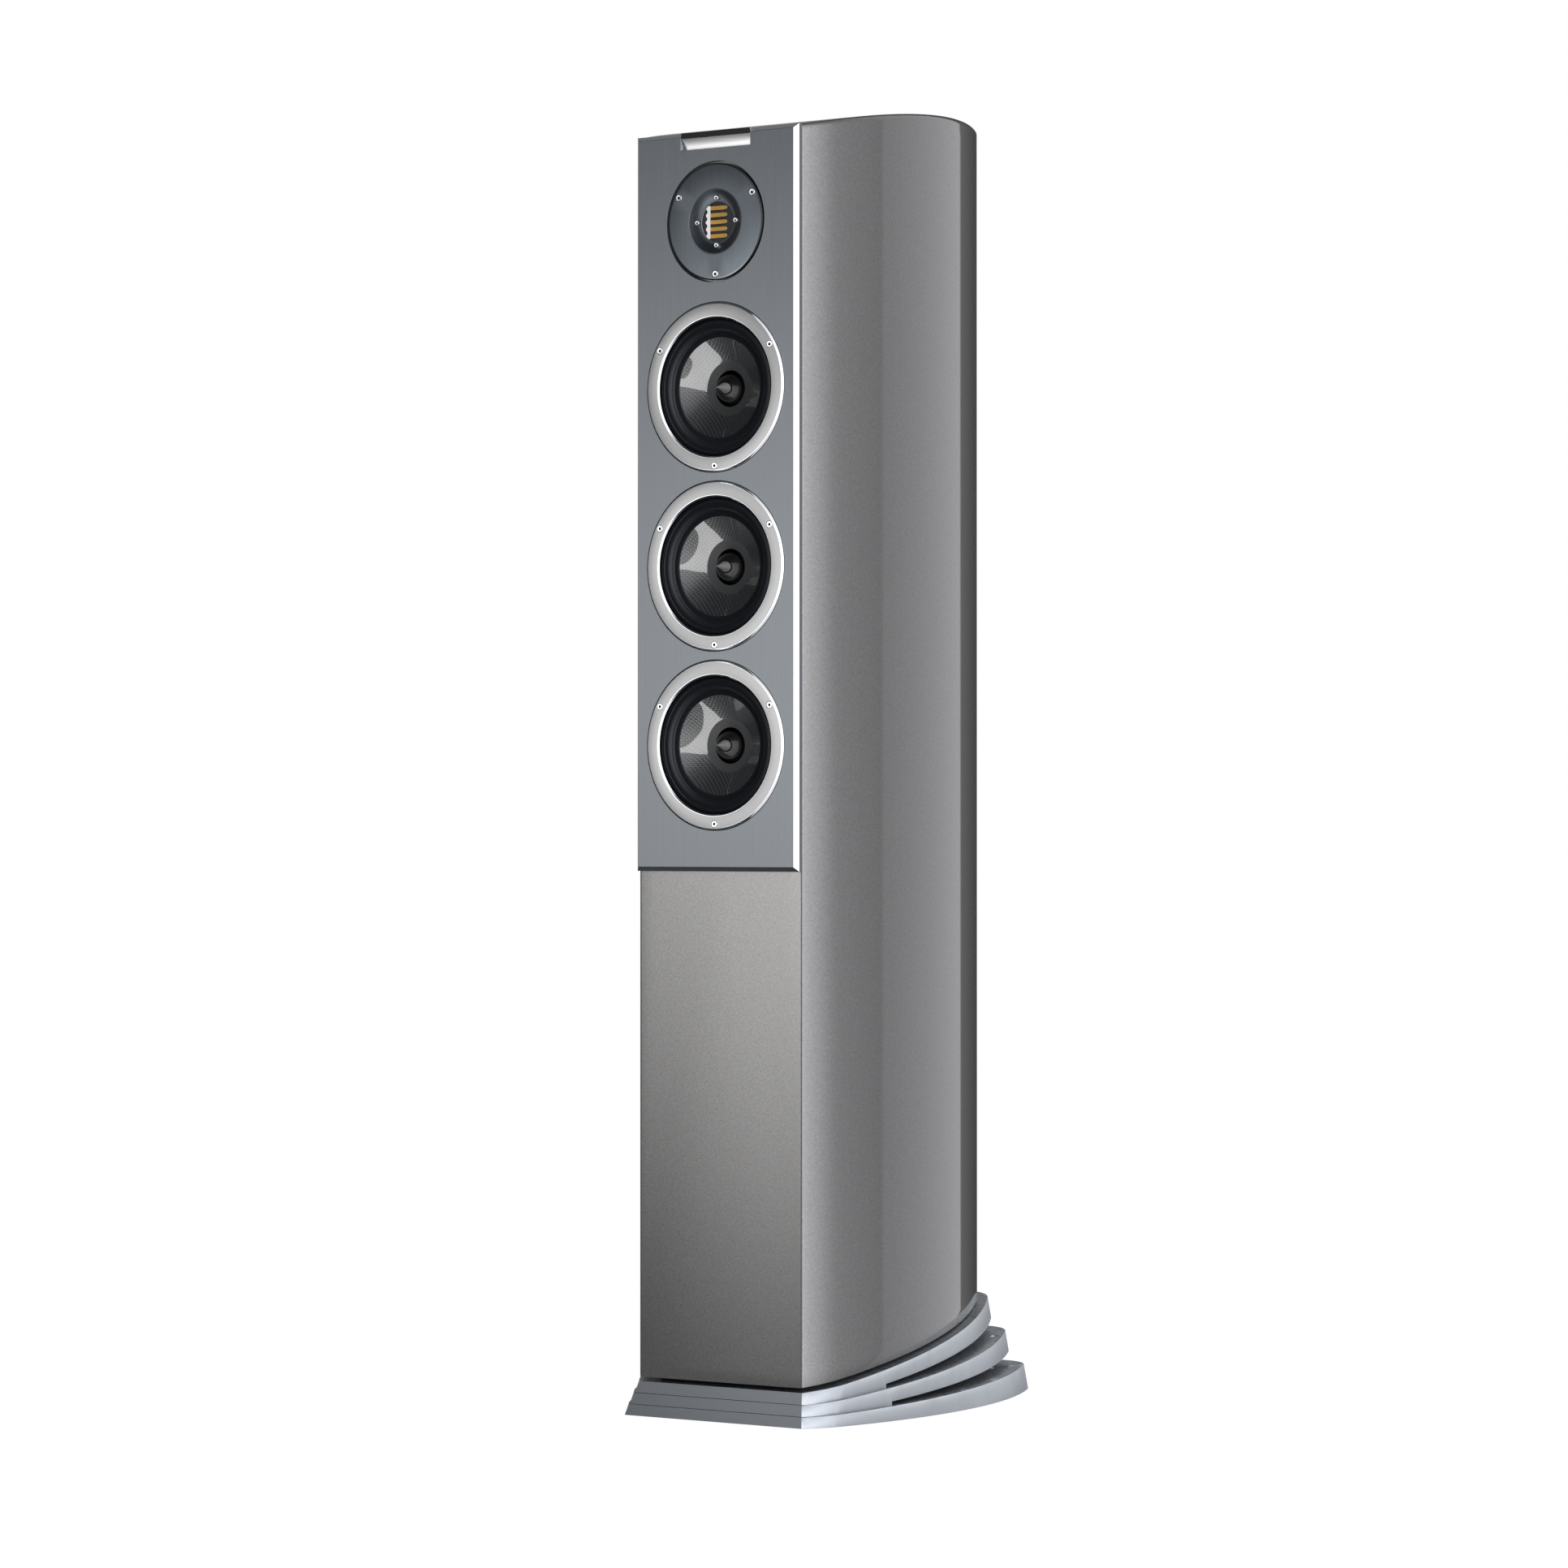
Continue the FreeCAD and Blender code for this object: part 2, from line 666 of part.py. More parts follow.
def fascia():
    """The plate over the upper front, with its openings, and the badge plate."""
    body = new_body("fascia_plate")
    sketch = new_sketch(body, "XZ_Plane", "Outline")
    top = d.top_front_z
    notch_z = top - d.badge_high
    notch_half = d.badge_half + d.badge_gap
    polygon(sketch, [
        (-d.front_half, d.fascia_bottom_z),
        (d.front_half, d.fascia_bottom_z),
        (d.front_half, top),
        (notch_half, top),
        (notch_half, notch_z),
        (-notch_half, notch_z),
        (-notch_half, top),
        (-d.front_half, top),
    ])
    pad(body, sketch, d.fascia_thick)

    openings = new_sketch(body, "XZ_Plane", "Openings")
    circle(openings, d.plate_hole, ZERO, d.tweeter_z)
    for z in woofer_centres():
        circle(openings, d.ring_outer + d.ring_gap, ZERO, z)
    plate = pocket(body, openings)

    chamfer = body.newObject("PartDesign::Chamfer", "Chamfer")
    chamfer.Base = (plate, outer_front_edges(plate.Shape))
    bind(chamfer, "Size", d.fascia_chamfer)
    doc.recompute()
    keep(place(body, ZERO, d.front_y, ZERO))

    badge = new_body("badge_plate")
    side = new_sketch(badge, "YZ_Plane", "Section", -d.badge_half)
    polygon(side, [
        (ZERO, notch_z + d.badge_gap),
        (ZERO, top),
        (-d.badge_thick, top),
        (-d.badge_thick, notch_z + 5),
        (-d.badge_thick + 2.4, notch_z + 2.2),
        (-d.badge_thick + 4.4, notch_z + d.badge_gap),
    ])
    pad(badge, side, d.badge_half * 2)
    keep(place(badge, ZERO, d.front_y, ZERO))


def outer_front_edges(shape):
    """The fascia's outer front edges: its two sides, its lower and its upper edge."""
    whole = shape.BoundBox
    near = 0.01
    names = []
    for number, edge in enumerate(shape.Edges, start=1):
        frame = edge.BoundBox
        on_front = frame.YMax - whole.YMin < near
        at_side = frame.XLength < near and whole.XMax - abs(frame.XMax) < near
        at_end = frame.ZMax - whole.ZMin < near or whole.ZMax - frame.ZMin < near
        if on_front and (at_side or at_end):
            names.append(f"Edge{number}")
    return names


# ---------------------------------------------------------------- base

def bolt_places():
    return [
        (x * side, y)
        for x, y in ((d.bolt_front_x, d.bolt_front_y), (d.bolt_rear_x, d.bolt_rear_y))
        for side in (-1, 1)
    ]


def bolt_shanks(name, radius):
    """Upright cylinders at the four base bolts, up into the cabinet bottom."""
    shanks = []
    for x, y in bolt_places():
        top = underside_z(y) + d.bolt_bite
        shanks.append(rod("Shank", radius, top - d.base_bottom_z, x, y, d.base_bottom_z))
    return fuse(name, shanks)


def stack_share(level):
    """How far the front of the base has grown out at a level: 1 at the floor."""
    return Size.of(1) - (level - d.base_bottom_z) / (d.plate_front * 3)


def seam_z(number, y):
    """Height at depth y of the seam above plate 1, 2 or 3; seam 0 is the underside."""
    slope = (ZERO, d.low_seam_slope, d.middle_seam_slope, d.high_seam_slope)[number]
    return d.base_bottom_z + d.plate_front * number + slope * (y - d.front_y)


def base_plate(number, label):
    """One wedge-shaped plate, counted from the floor up, with its splayed rim."""
    body = new_body(label)
    side_share = 1 - d.side_set_back * (number - 1)
    back_share = 1 - d.back_set_back * (number - 1)
    low_z = seam_z(number - 1, d.front_y)
    rear_low_z = seam_z(number - 1, d.rear_y)
    high_z = seam_z(number, d.rear_y + d.base_back)
    lower, upper = (
        plan_outline(
            body, name, level, stack_share(level),
            side_share - (level - rear_low_z) * d.side_splay,
            back_share - (level - rear_low_z) * d.back_splay,
            d.base_fillet,
        )
        for name, level in (("Lower", low_z), ("Upper", high_z))
    )
    loft = body.newObject("PartDesign::AdditiveLoft", "Rim")
    loft.Profile = lower
    loft.Sections = [upper]
    loft.Ruled = True
    doc.recompute()

    near, far = Size.of(-300), Size.of(300)
    over = new_sketch(body, "YZ_Plane", "TopPlane")
    polygon(over, [
        (near, seam_z(number, near)),
        (far, seam_z(number, far)),
        (far, Size.of(200)),
        (near, Size.of(200)),
    ])
    pocket(body, over)
    if number > 1:
        under = new_sketch(body, "YZ_Plane", "SlotAndUnderside")
        seam = number - 1
        polygon(under, [
            (near, Size.of(-20)),
            (far, Size.of(-20)),
            (far, seam_z(seam, far) + d.slot_height + d.slot_widening * (far - d.slot_y)),
            (d.slot_y, seam_z(seam, d.slot_y) + d.slot_height),
            (d.slot_y, seam_z(seam, d.slot_y)),
            (near, seam_z(seam, near)),
        ])
        pocket(body, under)
    bores = new_sketch(body, "XY_Plane", "Bores")
    for x, y in bolt_places():
        circle(bores, d.bolt_hole, x, y)
    if number < 3:
        for x, y in foot_places():
            circle(bores, d.foot_stem_bore, x, y)
    pocket(body, bores)
    if number == 1:
        recesses = new_sketch(body, "XY_Plane", "FootRecesses", d.base_bottom_z)
        for x, y in foot_places():
            circle(recesses, d.foot_recess, x, y)
        pocket(body, recesses, d.foot_recess_deep, backwards=True)
        heads = new_sketch(body, "XY_Plane", "BoltHeads", d.base_bottom_z)
        for x, y in bolt_places():
            circle(heads, d.bolt_head + 0.5, x, y)
        pocket(body, heads, d.bolt_head_high + 1, backwards=True)
    return keep(body)


def foot_places():
    return [
        (x * side, y)
        for x, y in ((d.foot_front_x, d.foot_front_y), (d.foot_rear_x, d.foot_rear_y))
        for side in (-1, 1)
    ]


def base():
    for number, label in enumerate(("bottom", "middle", "top"), start=1):
        base_plate(number, f"plinth_{label}_plate")

    spacer = new_body("plinth_spacer")
    plan = plan_outline(spacer, "Plan", ZERO, inset=d.spacer_inset)
    pad(spacer, plan, Size.of(200))
    near, far = Size.of(-300), Size.of(300)
    over = new_sketch(spacer, "YZ_Plane", "Above")
    polygon(over, [
        (near, underside_z(near)),
        (far, underside_z(far)),
        (far, Size.of(220)),
        (near, Size.of(220)),
    ])
    pocket(spacer, over)
    under = new_sketch(spacer, "YZ_Plane", "Below")
    polygon(under, [
        (near, Size.of(-60)),
        (far, Size.of(-60)),
        (far, seam_z(3, far)),
        (near, seam_z(3, near)),
    ])
    pocket(spacer, under)
    bores = new_sketch(spacer, "XY_Plane", "Bores")
    for x, y in bolt_places():
        circle(bores, d.bolt_hole, x, y)
    pocket(spacer, bores)
    keep(spacer)

    bolts = []
    for x, y in bolt_places():
        head_z = d.base_bottom_z + 1
        long = underside_z(y) + d.bolt_bite - 1 - head_z
        head = rod("Head", d.bolt_head, d.bolt_head_high, x, y, head_z)
        shank = rod("Shank", d.bolt_radius, long, x, y, head_z)
        bolts.append(fuse("Bolt", [head, shank]))
    keep(group("plinth_bolts", bolts))

    names = ("front_left", "front_right", "rear_left", "rear_right")
    for name, (x, y) in zip(names, foot_places()):
        foot = turned(f"foot_{name}", [
            (0, 0),
            (d.foot_radius - 1.5, 0),
            (d.foot_radius, 1.5),
            (d.foot_radius, d.foot_high - 1),
            (d.foot_radius - 1, d.foot_high),
            (d.foot_stem, d.foot_high),
            (d.foot_stem, d.foot_stem_top),
            (0, d.foot_stem_top),
        ])
        keep(place(foot, x, y, ZERO))


# ---------------------------------------------------------------- woofers

def screw_hole(body, circle_radius, hole_radius, sink_radius=None, sink_from=ZERO):
    """Three holes for screws, the first at the bottom, with their counterbores."""
    through = new_sketch(body, "XY_Plane", "ScrewHole")
    circle(through, hole_radius, ZERO, -circle_radius)
    polar(body, pocket(body, through), SCREWS_PER_DRIVER)
    if sink_radius is not None:
        sink = new_sketch(body, "XY_Plane", "Counterbore", sink_from)
        circle(sink, sink_radius, ZERO, -circle_radius)
        polar(body, pocket(body, sink, d.screw_head_high + 0.2), SCREWS_PER_DRIVER)


def woofer_trim_ring(name):
    face = d.ring_front
    body = turned(name, [
        (d.ring_inner, -d.ring_back),
        (d.ring_outer, -d.ring_back),
        (d.ring_outer, face - d.ring_bevel * 1.3),
        (d.ring_outer - d.ring_bevel, face),
        (d.ring_inner + 1.2, face),
        (d.ring_inner, face - 1.2),
    ])
    screw_hole(body, d.screw_circle, d.screw_hole, d.screw_sink, face)
    return body


def woofer_basket(name):
    seat = -d.ring_back - d.flange_step
    behind = -d.fascia_thick
    floor = -d.basket_floor
    spider_z = -d.spider_deep - d.spider_wave
    body = turned(name, [
        (d.ring_outer, -d.ring_back),
        (d.ring_inner + 5.8, -d.ring_back),
        (d.ring_inner + 5.8, seat),
        (d.ring_inner + 1, seat),
        (d.ring_inner + 1, behind - 2),
        (d.basket_neck - 4, behind - 6),
        (d.basket_neck - 4, behind - 12),
        (d.spider_outer + 1, spider_z + 1),
        (d.spider_outer + 1, spider_z),
        (d.spider_outer - 4, spider_z),
        (d.spider_outer - 4, spider_z - 2.5),
        (d.basket_floor_radius - 4, floor + 3.5),
        (d.pole_plate_outer - 14, floor + 3.5),
        (d.pole_plate_outer - 14, floor),
        (d.basket_floor_radius, floor),
        (d.basket_floor_radius, floor + 6),
        (d.basket_neck, behind - 16),
        (d.basket_neck, behind),
        (d.ring_outer, behind),
    ])
    screw_hole(body, d.screw_circle, d.screw_hole)
    window = new_sketch(body, "XY_Plane", "Window", behind - 19)
    polygon(window, [
        (Size.of(-14), Size.of(40)),
        (Size.of(14), Size.of(40)),
        (Size.of(22), Size.of(90)),
        (Size.of(-22), Size.of(90)),
    ])
    polar(body, pocket(body, window, Size.of(14)), 6)
    return body


def woofer_surround(name):
    """Half roll of rubber between the cone's rim and the basket flange."""
    base = -d.cone_rim
    outer_foot = -d.ring_back - d.flange_step
    steps = range(0, 181, 20)
    over = [
        (d.roll_middle + d.roll_radius * cosine(a), base + d.rubber + d.roll_radius * sine(a))
        for a in steps
    ]
    thin = d.roll_radius - d.rubber
    under = [
        (d.roll_middle + thin * cosine(a), base + d.rubber + thin * sine(a))
        for a in reversed(steps)
    ]
    outer_rim = d.ring_inner + 5.4
    inner_rim = d.cone_edge
    return turned(name, [
        (outer_rim, outer_foot),
        (outer_rim, -d.ring_back - 0.1),
        (d.roll_middle + d.roll_radius, -d.ring_back - 0.1),
        *over[1:],
        (inner_rim, base + d.rubber),
        (inner_rim, base),
        (d.roll_middle - thin, base),
        *under[1:-1],
        (d.roll_middle + thin, outer_foot),
    ])


def woofer_cone(name):
    rim = -d.cone_rim
    neck = -d.cone_neck_deep
    thick = d.cone_thick
    return turned(name, [
        (d.cone_outer, rim),
        (d.cone_edge, rim),
        (d.cone_neck, neck),
        (d.collar_inner, neck - 1.2),
        (d.collar_inner, neck - 1.2 - thick),
        (d.cone_neck, neck - thick * 1.3),
        (d.cone_edge, rim - thick * 1.3),
        (d.cone_outer, rim - thick),
    ])


def woofer_voice_coil(name):
    front = -d.cone_neck_deep - 1.2 - d.cone_thick
    return turned(name, [
        (d.former_inner, front),
        (d.former_outer, front),
        (d.former_outer, -d.coil_front),
        (d.coil_outer, -d.coil_front),
        (d.coil_outer, -d.coil_back),
        (d.former_outer, -d.coil_back),
        (d.former_outer, -d.former_back),
        (d.former_inner, -d.former_back),
    ])


def woofer_spider(name):
    """Corrugated cloth disc that centres the voice coil."""
    waves = 10
    span = d.spider_outer - d.spider_inner - 8
    thick = 0.8
    crest = [
        (d.spider_inner + 4 + span * (k / waves), -d.spider_deep - d.spider_wave * (k % 2))
        for k in range(waves + 1)
    ]
    flat = -d.spider_deep
    low = -d.spider_deep - d.spider_wave
    outline = [(d.spider_inner, flat), *crest, (d.spider_outer, low + thick)]
    below = [(x, y - thick) for x, y in reversed(outline)]
    return turned(name, outline + below)


def woofer_motor(name):
    """Front plate, magnet ring, and the back plate with its vented pole piece."""
    front = -d.basket_floor
    plate_back = front - d.plate_thick
    magnet_back = plate_back - d.magnet_thick
    back = magnet_back - d.plate_thick
    pole_front = front + 2
    plate = turned("FrontPlate", [
        (d.gap_outer, front),
        (d.pole_plate_outer, front),
        (d.pole_plate_outer, plate_back),
        (d.gap_outer, plate_back),
    ])
    magnet = turned("Magnet", [
        (d.magnet_inner, plate_back),
        (d.magnet_outer, plate_back),
        (d.magnet_outer, magnet_back),
        (d.magnet_inner, magnet_back),
    ])
    yoke = turned("Yoke", [
        (d.vent_radius, pole_front),
        (d.pole_radius, pole_front),
        (d.pole_radius, magnet_back),
        (d.pole_plate_outer, magnet_back),
        (d.pole_plate_outer - 3, back),
        (d.vent_radius, back),
    ])
    return group(name, [plate, magnet, yoke])


def woofer_phase_plug(name):
    """Pointed bullet on the pole piece; its nose is an ogive."""
    tip, base = -d.plug_tip, -d.plug_base
    steps = 6
    nose = [
        (d.plug_radius * (1 - (1 - step / steps) ** 2), tip + (base - tip) * (step / steps))
        for step in range(1, steps + 1)
    ]
    return turned(name, [
        (ZERO, tip),
        *nose,
        (d.plug_radius, base - 8),
        (d.plug_stem, base - 10),
        (d.plug_stem, -d.basket_floor + 2),
        (ZERO, -d.basket_floor + 2),
    ])


def woofers():
    makers = {
        "trim_ring": woofer_trim_ring,
        "basket": woofer_basket,
        "surround": woofer_surround,
        "cone": woofer_cone,
        "voice_coil": woofer_voice_coil,
        "spider": woofer_spider,
        "motor": woofer_motor,
        "phase_plug": woofer_phase_plug,
    }
    face_y = d.front_y - d.fascia_thick
    for number, z in enumerate(woofer_centres(), start=1):
        for part_name, make in makers.items():
            piece = make(f"woofer_{number}_{part_name}")
            keep(place(piece, ZERO, face_y, z, FORWARD))
    centres = [(ZERO, z) for z in woofer_centres()]
    keep(group("woofer_screws", driver_screws(centres, d.screw_circle, d.ring_front)))


def driver_screws(centres, reach, front):
    """Screws round each centre, heads flush with a face that stands at front."""
    screws = []
    face_y = d.front_y - d.fascia_thick
    for x, z in centres:
        for angle in screw_angles():
            screw = turned("Screw", [
                (0, front - 0.9),
                (1.3, front - 0.9),
                (1.3, front - 0.2),
                (d.screw_head, front - 0.2),
                (d.screw_head, front - d.screw_head_high),
                (d.screw_radius, front - d.screw_head_high - 0.1),
                (d.screw_radius, -d.screw_deep + 3),
                (0, -d.screw_deep),
            ])
            place(screw, x + reach * cosine(angle), face_y, z + reach * sine(angle), FORWARD)
            screws.append(screw)
    return screws


# ---------------------------------------------------------------- tweeter

def tweeter():
    face_y = d.front_y - d.fascia_thick
    behind = -d.fascia_thick

    plate = turned("tweeter_faceplate", [
        (d.dish_outer, behind),
        (d.plate_outer, behind),
        (d.plate_outer, -0.6),
        (d.plate_outer - 0.6, 0),
        (d.dish_outer, 0),
    ])
    screw_hole(plate, d.tweeter_screw_circle, d.screw_hole, d.screw_sink, ZERO)

    rim = d.dish_outer - 0.05
    dish = turned("tweeter_dish_ring", [
        (d.dish_inner, behind),
        (rim, behind),
        (rim, -0.1),
        (rim - 0.9, -0.3),
        (d.dish_inner, -d.dish_deep),
    ])
    through = new_sketch(dish, "XY_Plane", "ScrewHole")
    circle(through, d.dish_screw_head, ZERO, -d.dish_screw_circle)
    polar(dish, pocket(dish, through), 4)

    grid = new_body("tweeter_grid")
    outline = new_sketch(grid, "XY_Plane", "Outline", -d.dish_deep - d.grid_thick - 0.5)
    circle(outline, d.dish_inner - 0.05)
    pad(grid, outline, d.grid_thick)
    slots = new_sketch(grid, "XY_Plane", "Slots")
    half_high = d.grid_slot_high / 2
    for row in range(-2, 3):
        middle = d.grid_pitch * row
        half = d.grid_slot_half - abs(row) * 1.2
        polygon(slots, [
            (-half, middle - half_high),
            (half, middle - half_high),
            (half, middle + half_high),
            (-half, middle + half_high),
        ])
    pocket(grid, slots)

    pleats = new_body("tweeter_ribbon")
    film = new_sketch(pleats, "XY_Plane", "Film", behind - d.pleat_thick)
    side = d.grid_half
    polygon(film, [(-side, -side), (side, -side), (side, side), (-side, side)])
    pad(pleats, film, d.pleat_thick)

    magnet_front = behind - d.pleat_thick
    magnet = turned("tweeter_magnet", [
        (0, magnet_front),
        (d.tweeter_magnet, magnet_front),
        (d.tweeter_magnet, -d.tweeter_magnet_deep),
        (0, -d.tweeter_magnet_deep),
    ])
    wall = d.chamber_wall
    chamber = turned("tweeter_rear_chamber", [
        (d.tweeter_magnet + 0.3, -d.tweeter_magnet_deep + 12),
        (d.chamber_outer, -d.tweeter_magnet_deep + 12),
        (d.chamber_outer, -d.chamber_back + 6),
        (d.chamber_outer - 6, -d.chamber_back),
        (0, -d.chamber_back),
        (0, -d.chamber_back + wall),
        (d.chamber_outer - 7, -d.chamber_back + wall),
        (d.tweeter_magnet - 1, -d.chamber_back + 9),
        (d.tweeter_magnet - 1, -d.tweeter_magnet_deep),
        (d.tweeter_magnet + 0.3, -d.tweeter_magnet_deep),
    ])
    for piece in (plate, dish, grid, pleats, magnet, chamber):
        keep(place(piece, ZERO, face_y, d.tweeter_z, FORWARD))

    screws = driver_screws([(ZERO, d.tweeter_z)], d.tweeter_screw_circle, ZERO)
    for angle in range(0, 360, 90):
        screw = turned("DishScrew", [
            (0, -3.2),
            (0.8, -3.2),
            (0.8, -2.2),
            (d.dish_screw_head - 0.1, -2.2),
            (d.dish_screw_head - 0.1, behind),
            (0, behind),
        ])
        x = d.dish_screw_circle * cosine(angle)
        z = d.tweeter_z + d.dish_screw_circle * sine(angle)
        screws.append(place(screw, x, face_y, z, FORWARD))
    keep(group("tweeter_screws", screws))


# ---------------------------------------------------------------- rear

def rear_fittings():
    """Port tube, terminal plate, posts, and their washers and screw caps."""
    port = turned("port_tube", [
        (d.port_inner, d.port_flange_thick - d.port_long),
        (d.port_outer, d.port_flange_thick - d.port_long),
        (d.port_outer, ZERO),
        (d.port_flange, ZERO),
        (d.port_flange, d.port_flange_thick - 1.5),
        (d.port_flange - 1.5, d.port_flange_thick),
        (d.port_inner + 1.5, d.port_flange_thick),
        (d.port_inner, -6),
    ])
    keep(place(port, ZERO, d.rear_y, d.port_z, BACKWARD))

    plate = new_body("terminal_plate")
    sketch = new_sketch(plate, "XZ_Plane", "Outline")
    half, tall = d.terminal_half, d.terminal_high / 2
    polygon(sketch, [(-half, -tall), (half, -tall), (half, tall), (-half, tall)])
    pad(plate, sketch, d.terminal_thick)
    bores = new_sketch(plate, "XZ_Plane", "Bores")
    for side in (-1, 1):
        circle(bores, d.collar_radius - 1, ZERO, d.post_spread * side)
        circle(bores, d.screw_hole, ZERO, (tall - 5) * side)
    pocket(plate, bores)
    keep(place(plate, ZERO, d.rear_y + d.terminal_thick, d.terminal_z))

    plate_face = d.rear_y + d.terminal_thick
    screws = []
    for side in (-1, 1):
        screw = turned("PlateScrew", [
            (0, 0.2),
            (1.2, 0.2),
            (1.2, 1.0),
            (d.screw_head, 0.8),
            (d.screw_head, 0),
            (d.screw_radius, 0),
            (d.screw_radius, -16),
            (0, -18),
        ])
        screws.append(place(screw, ZERO, plate_face, d.terminal_z + (tall - 5) * side, BACKWARD))
    keep(group("terminal_screws", screws))

    posts = []
    for side, name in ((1, "positive"), (-1, "negative")):
        z = d.terminal_z + d.post_spread * side
        collar_end = d.collar_long
        post = turned("Post", [
            (0, -d.wall - 8),
            (d.post_radius, -d.wall - 8),
            (d.post_radius, -12),
            (d.collar_radius - 1.2, -12),
            (d.collar_radius - 1.2, 0),
            (d.collar_radius, 0),
            (d.collar_radius, collar_end),
            (d.post_radius, collar_end),
            (d.post_radius, collar_end + d.post_long),
            (d.socket_radius, collar_end + d.post_long),
            (d.socket_radius, collar_end + d.post_long - d.socket_deep),
            (0, collar_end + d.post_long - d.socket_deep),
        ])
        posts.append(place(post, ZERO, plate_face, z, BACKWARD))

        washer = turned(f"terminal_washer_{name}", [
            (d.washer_bore, collar_end + 0.3),
            (d.washer_radius, collar_end + 0.3),
            (d.washer_radius, collar_end + 0.3 + d.washer_thick),
            (d.washer_bore, collar_end + 0.3 + d.washer_thick),
        ])
        keep(place(washer, ZERO, plate_face, z, BACKWARD))
        cap_start = collar_end + 0.4 + d.washer_thick
        cap = turned(f"terminal_cap_{name}", [
            (d.washer_bore, cap_start),
            (d.cap_radius - 0.8, cap_start),
            (d.cap_radius, cap_start + 0.8),
            (d.cap_radius, cap_start + d.cap_long - 1.5),
            (d.cap_radius - 1.5, cap_start + d.cap_long),
            (d.washer_bore, cap_start + d.cap_long),
        ])
        grip = new_sketch(cap, "XY_Plane", "Flute")
        circle(grip, Size.of(1.1), ZERO, -d.cap_radius - 0.3)
        polar(cap, pocket(cap, grip), 8)
        keep(place(cap, ZERO, plate_face, z, BACKWARD))
    keep(group("terminal_posts", posts))


def crossover():
    """Filter board behind the front board, with its coils and capacitors."""
    face = d.front_y + d.front_wall
    top = d.board_z + d.board_high
    board = box("Board", (-d.board_half, face, d.board_z), (d.board_half, face + 4, top))
    parts = [board]
    for step, x in enumerate((-22, 22)):
        coil = turned("Coil", [(7, 0), (18, 0), (18, 16), (7, 16)])
        z = d.board_z + 40 + 55 * step
        parts.append(place(coil, Size.of(x), face + 4, z, BACKWARD))
        z = d.board_z + 95 - 55 * step
        parts.append(rod("Capacitor", Size.of(11), Size.of(30), Size.of(x), face + 4, z, BACKWARD))
    keep(group("crossover_board", parts))


# ---------------------------------------------------------------- output

def check_document():
    """Stops if any object failed to build, or any sub-part is null or invalid."""
    for thing in doc.Objects:
        if "Invalid" in thing.State or "Error" in thing.State:
            raise RuntimeError(f"{thing.Label} failed: {thing.State}")
    labels = [piece.Label for piece in pieces]
    if len(set(labels)) != len(labels):
        raise RuntimeError("two sub-parts share a label")
    for piece in pieces:
        if piece.Shape.isNull() or not piece.Shape.isValid():
            raise RuntimeError(f"{piece.Label} has no valid shape")


def write_parts():
    os.makedirs("parts", exist_ok=True)
    for piece in pieces:
        piece.Shape.exportStep(f"parts/{piece.Label}.step")
    print(f"{len(pieces)} sub-parts written")


cabinet()
fascia()
base()
woofers()
tweeter()
rear_fittings()
crossover()
doc.recompute()
check_document()
write_parts()
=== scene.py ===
"""A slim three-woofer floorstanding speaker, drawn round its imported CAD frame.

Lengths in the shape code are millimetres; MM turns them into Blender's metres.
Profiles of turned pieces are pairs (radius, place along Y), with Y pointing to the rear.
"""
import json
import math
from math import cos, pi, radians, sin, sqrt

import bmesh
import bpy
import numpy as np
from mathutils import Matrix, Vector
from mathutils.geometry import delaunay_2d_cdt

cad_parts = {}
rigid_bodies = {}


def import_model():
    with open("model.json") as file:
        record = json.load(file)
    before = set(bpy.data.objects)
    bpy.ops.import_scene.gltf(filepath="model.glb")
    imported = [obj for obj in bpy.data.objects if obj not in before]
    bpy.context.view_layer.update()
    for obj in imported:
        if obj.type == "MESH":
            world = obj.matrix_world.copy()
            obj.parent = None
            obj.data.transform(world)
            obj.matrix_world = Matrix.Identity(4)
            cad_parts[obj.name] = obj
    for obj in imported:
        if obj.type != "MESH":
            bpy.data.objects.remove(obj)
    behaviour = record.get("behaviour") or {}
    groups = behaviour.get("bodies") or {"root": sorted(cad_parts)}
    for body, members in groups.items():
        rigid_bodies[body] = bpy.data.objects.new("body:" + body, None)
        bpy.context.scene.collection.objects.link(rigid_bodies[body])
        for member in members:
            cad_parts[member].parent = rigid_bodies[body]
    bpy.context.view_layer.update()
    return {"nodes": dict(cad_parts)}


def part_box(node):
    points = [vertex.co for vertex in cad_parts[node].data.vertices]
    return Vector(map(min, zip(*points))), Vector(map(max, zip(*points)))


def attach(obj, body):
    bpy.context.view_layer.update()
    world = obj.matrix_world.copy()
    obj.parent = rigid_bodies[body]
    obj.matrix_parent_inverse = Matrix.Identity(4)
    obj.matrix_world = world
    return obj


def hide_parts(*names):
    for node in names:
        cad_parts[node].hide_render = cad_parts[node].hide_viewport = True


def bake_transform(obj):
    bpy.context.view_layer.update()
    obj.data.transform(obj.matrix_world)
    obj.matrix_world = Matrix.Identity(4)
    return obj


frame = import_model()
MM = 0.001
CABINET = "cabinet"
WOOFERS = (1, 2, 3)


def span(node):
    """The lowest and highest corner of a CAD node, in millimetres."""
    low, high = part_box(node)
    return low / MM, high / MM


def middle(node):
    low, high = span(node)
    return (low + high) / 2


FASCIA_LOW, FASCIA_HIGH = span("fascia_plate")
FRONT_Y = FASCIA_HIGH.y
FACE_Y = FASCIA_LOW.y
REAR_Y = span("rear_panel")[1].y
TOP_FRONT_Z = FASCIA_HIGH.z
FRONT_HALF = FASCIA_HIGH.x
WOOFER_PLACES = {k: Vector((0, FACE_Y, middle(f"woofer_{k}_trim_ring").z)) for k in WOOFERS}
TWEETER_PLACE = Vector((0, FACE_Y, middle("tweeter_faceplate").z))
PORT_PLACE = Vector((0, REAR_Y, middle("port_tube").z))


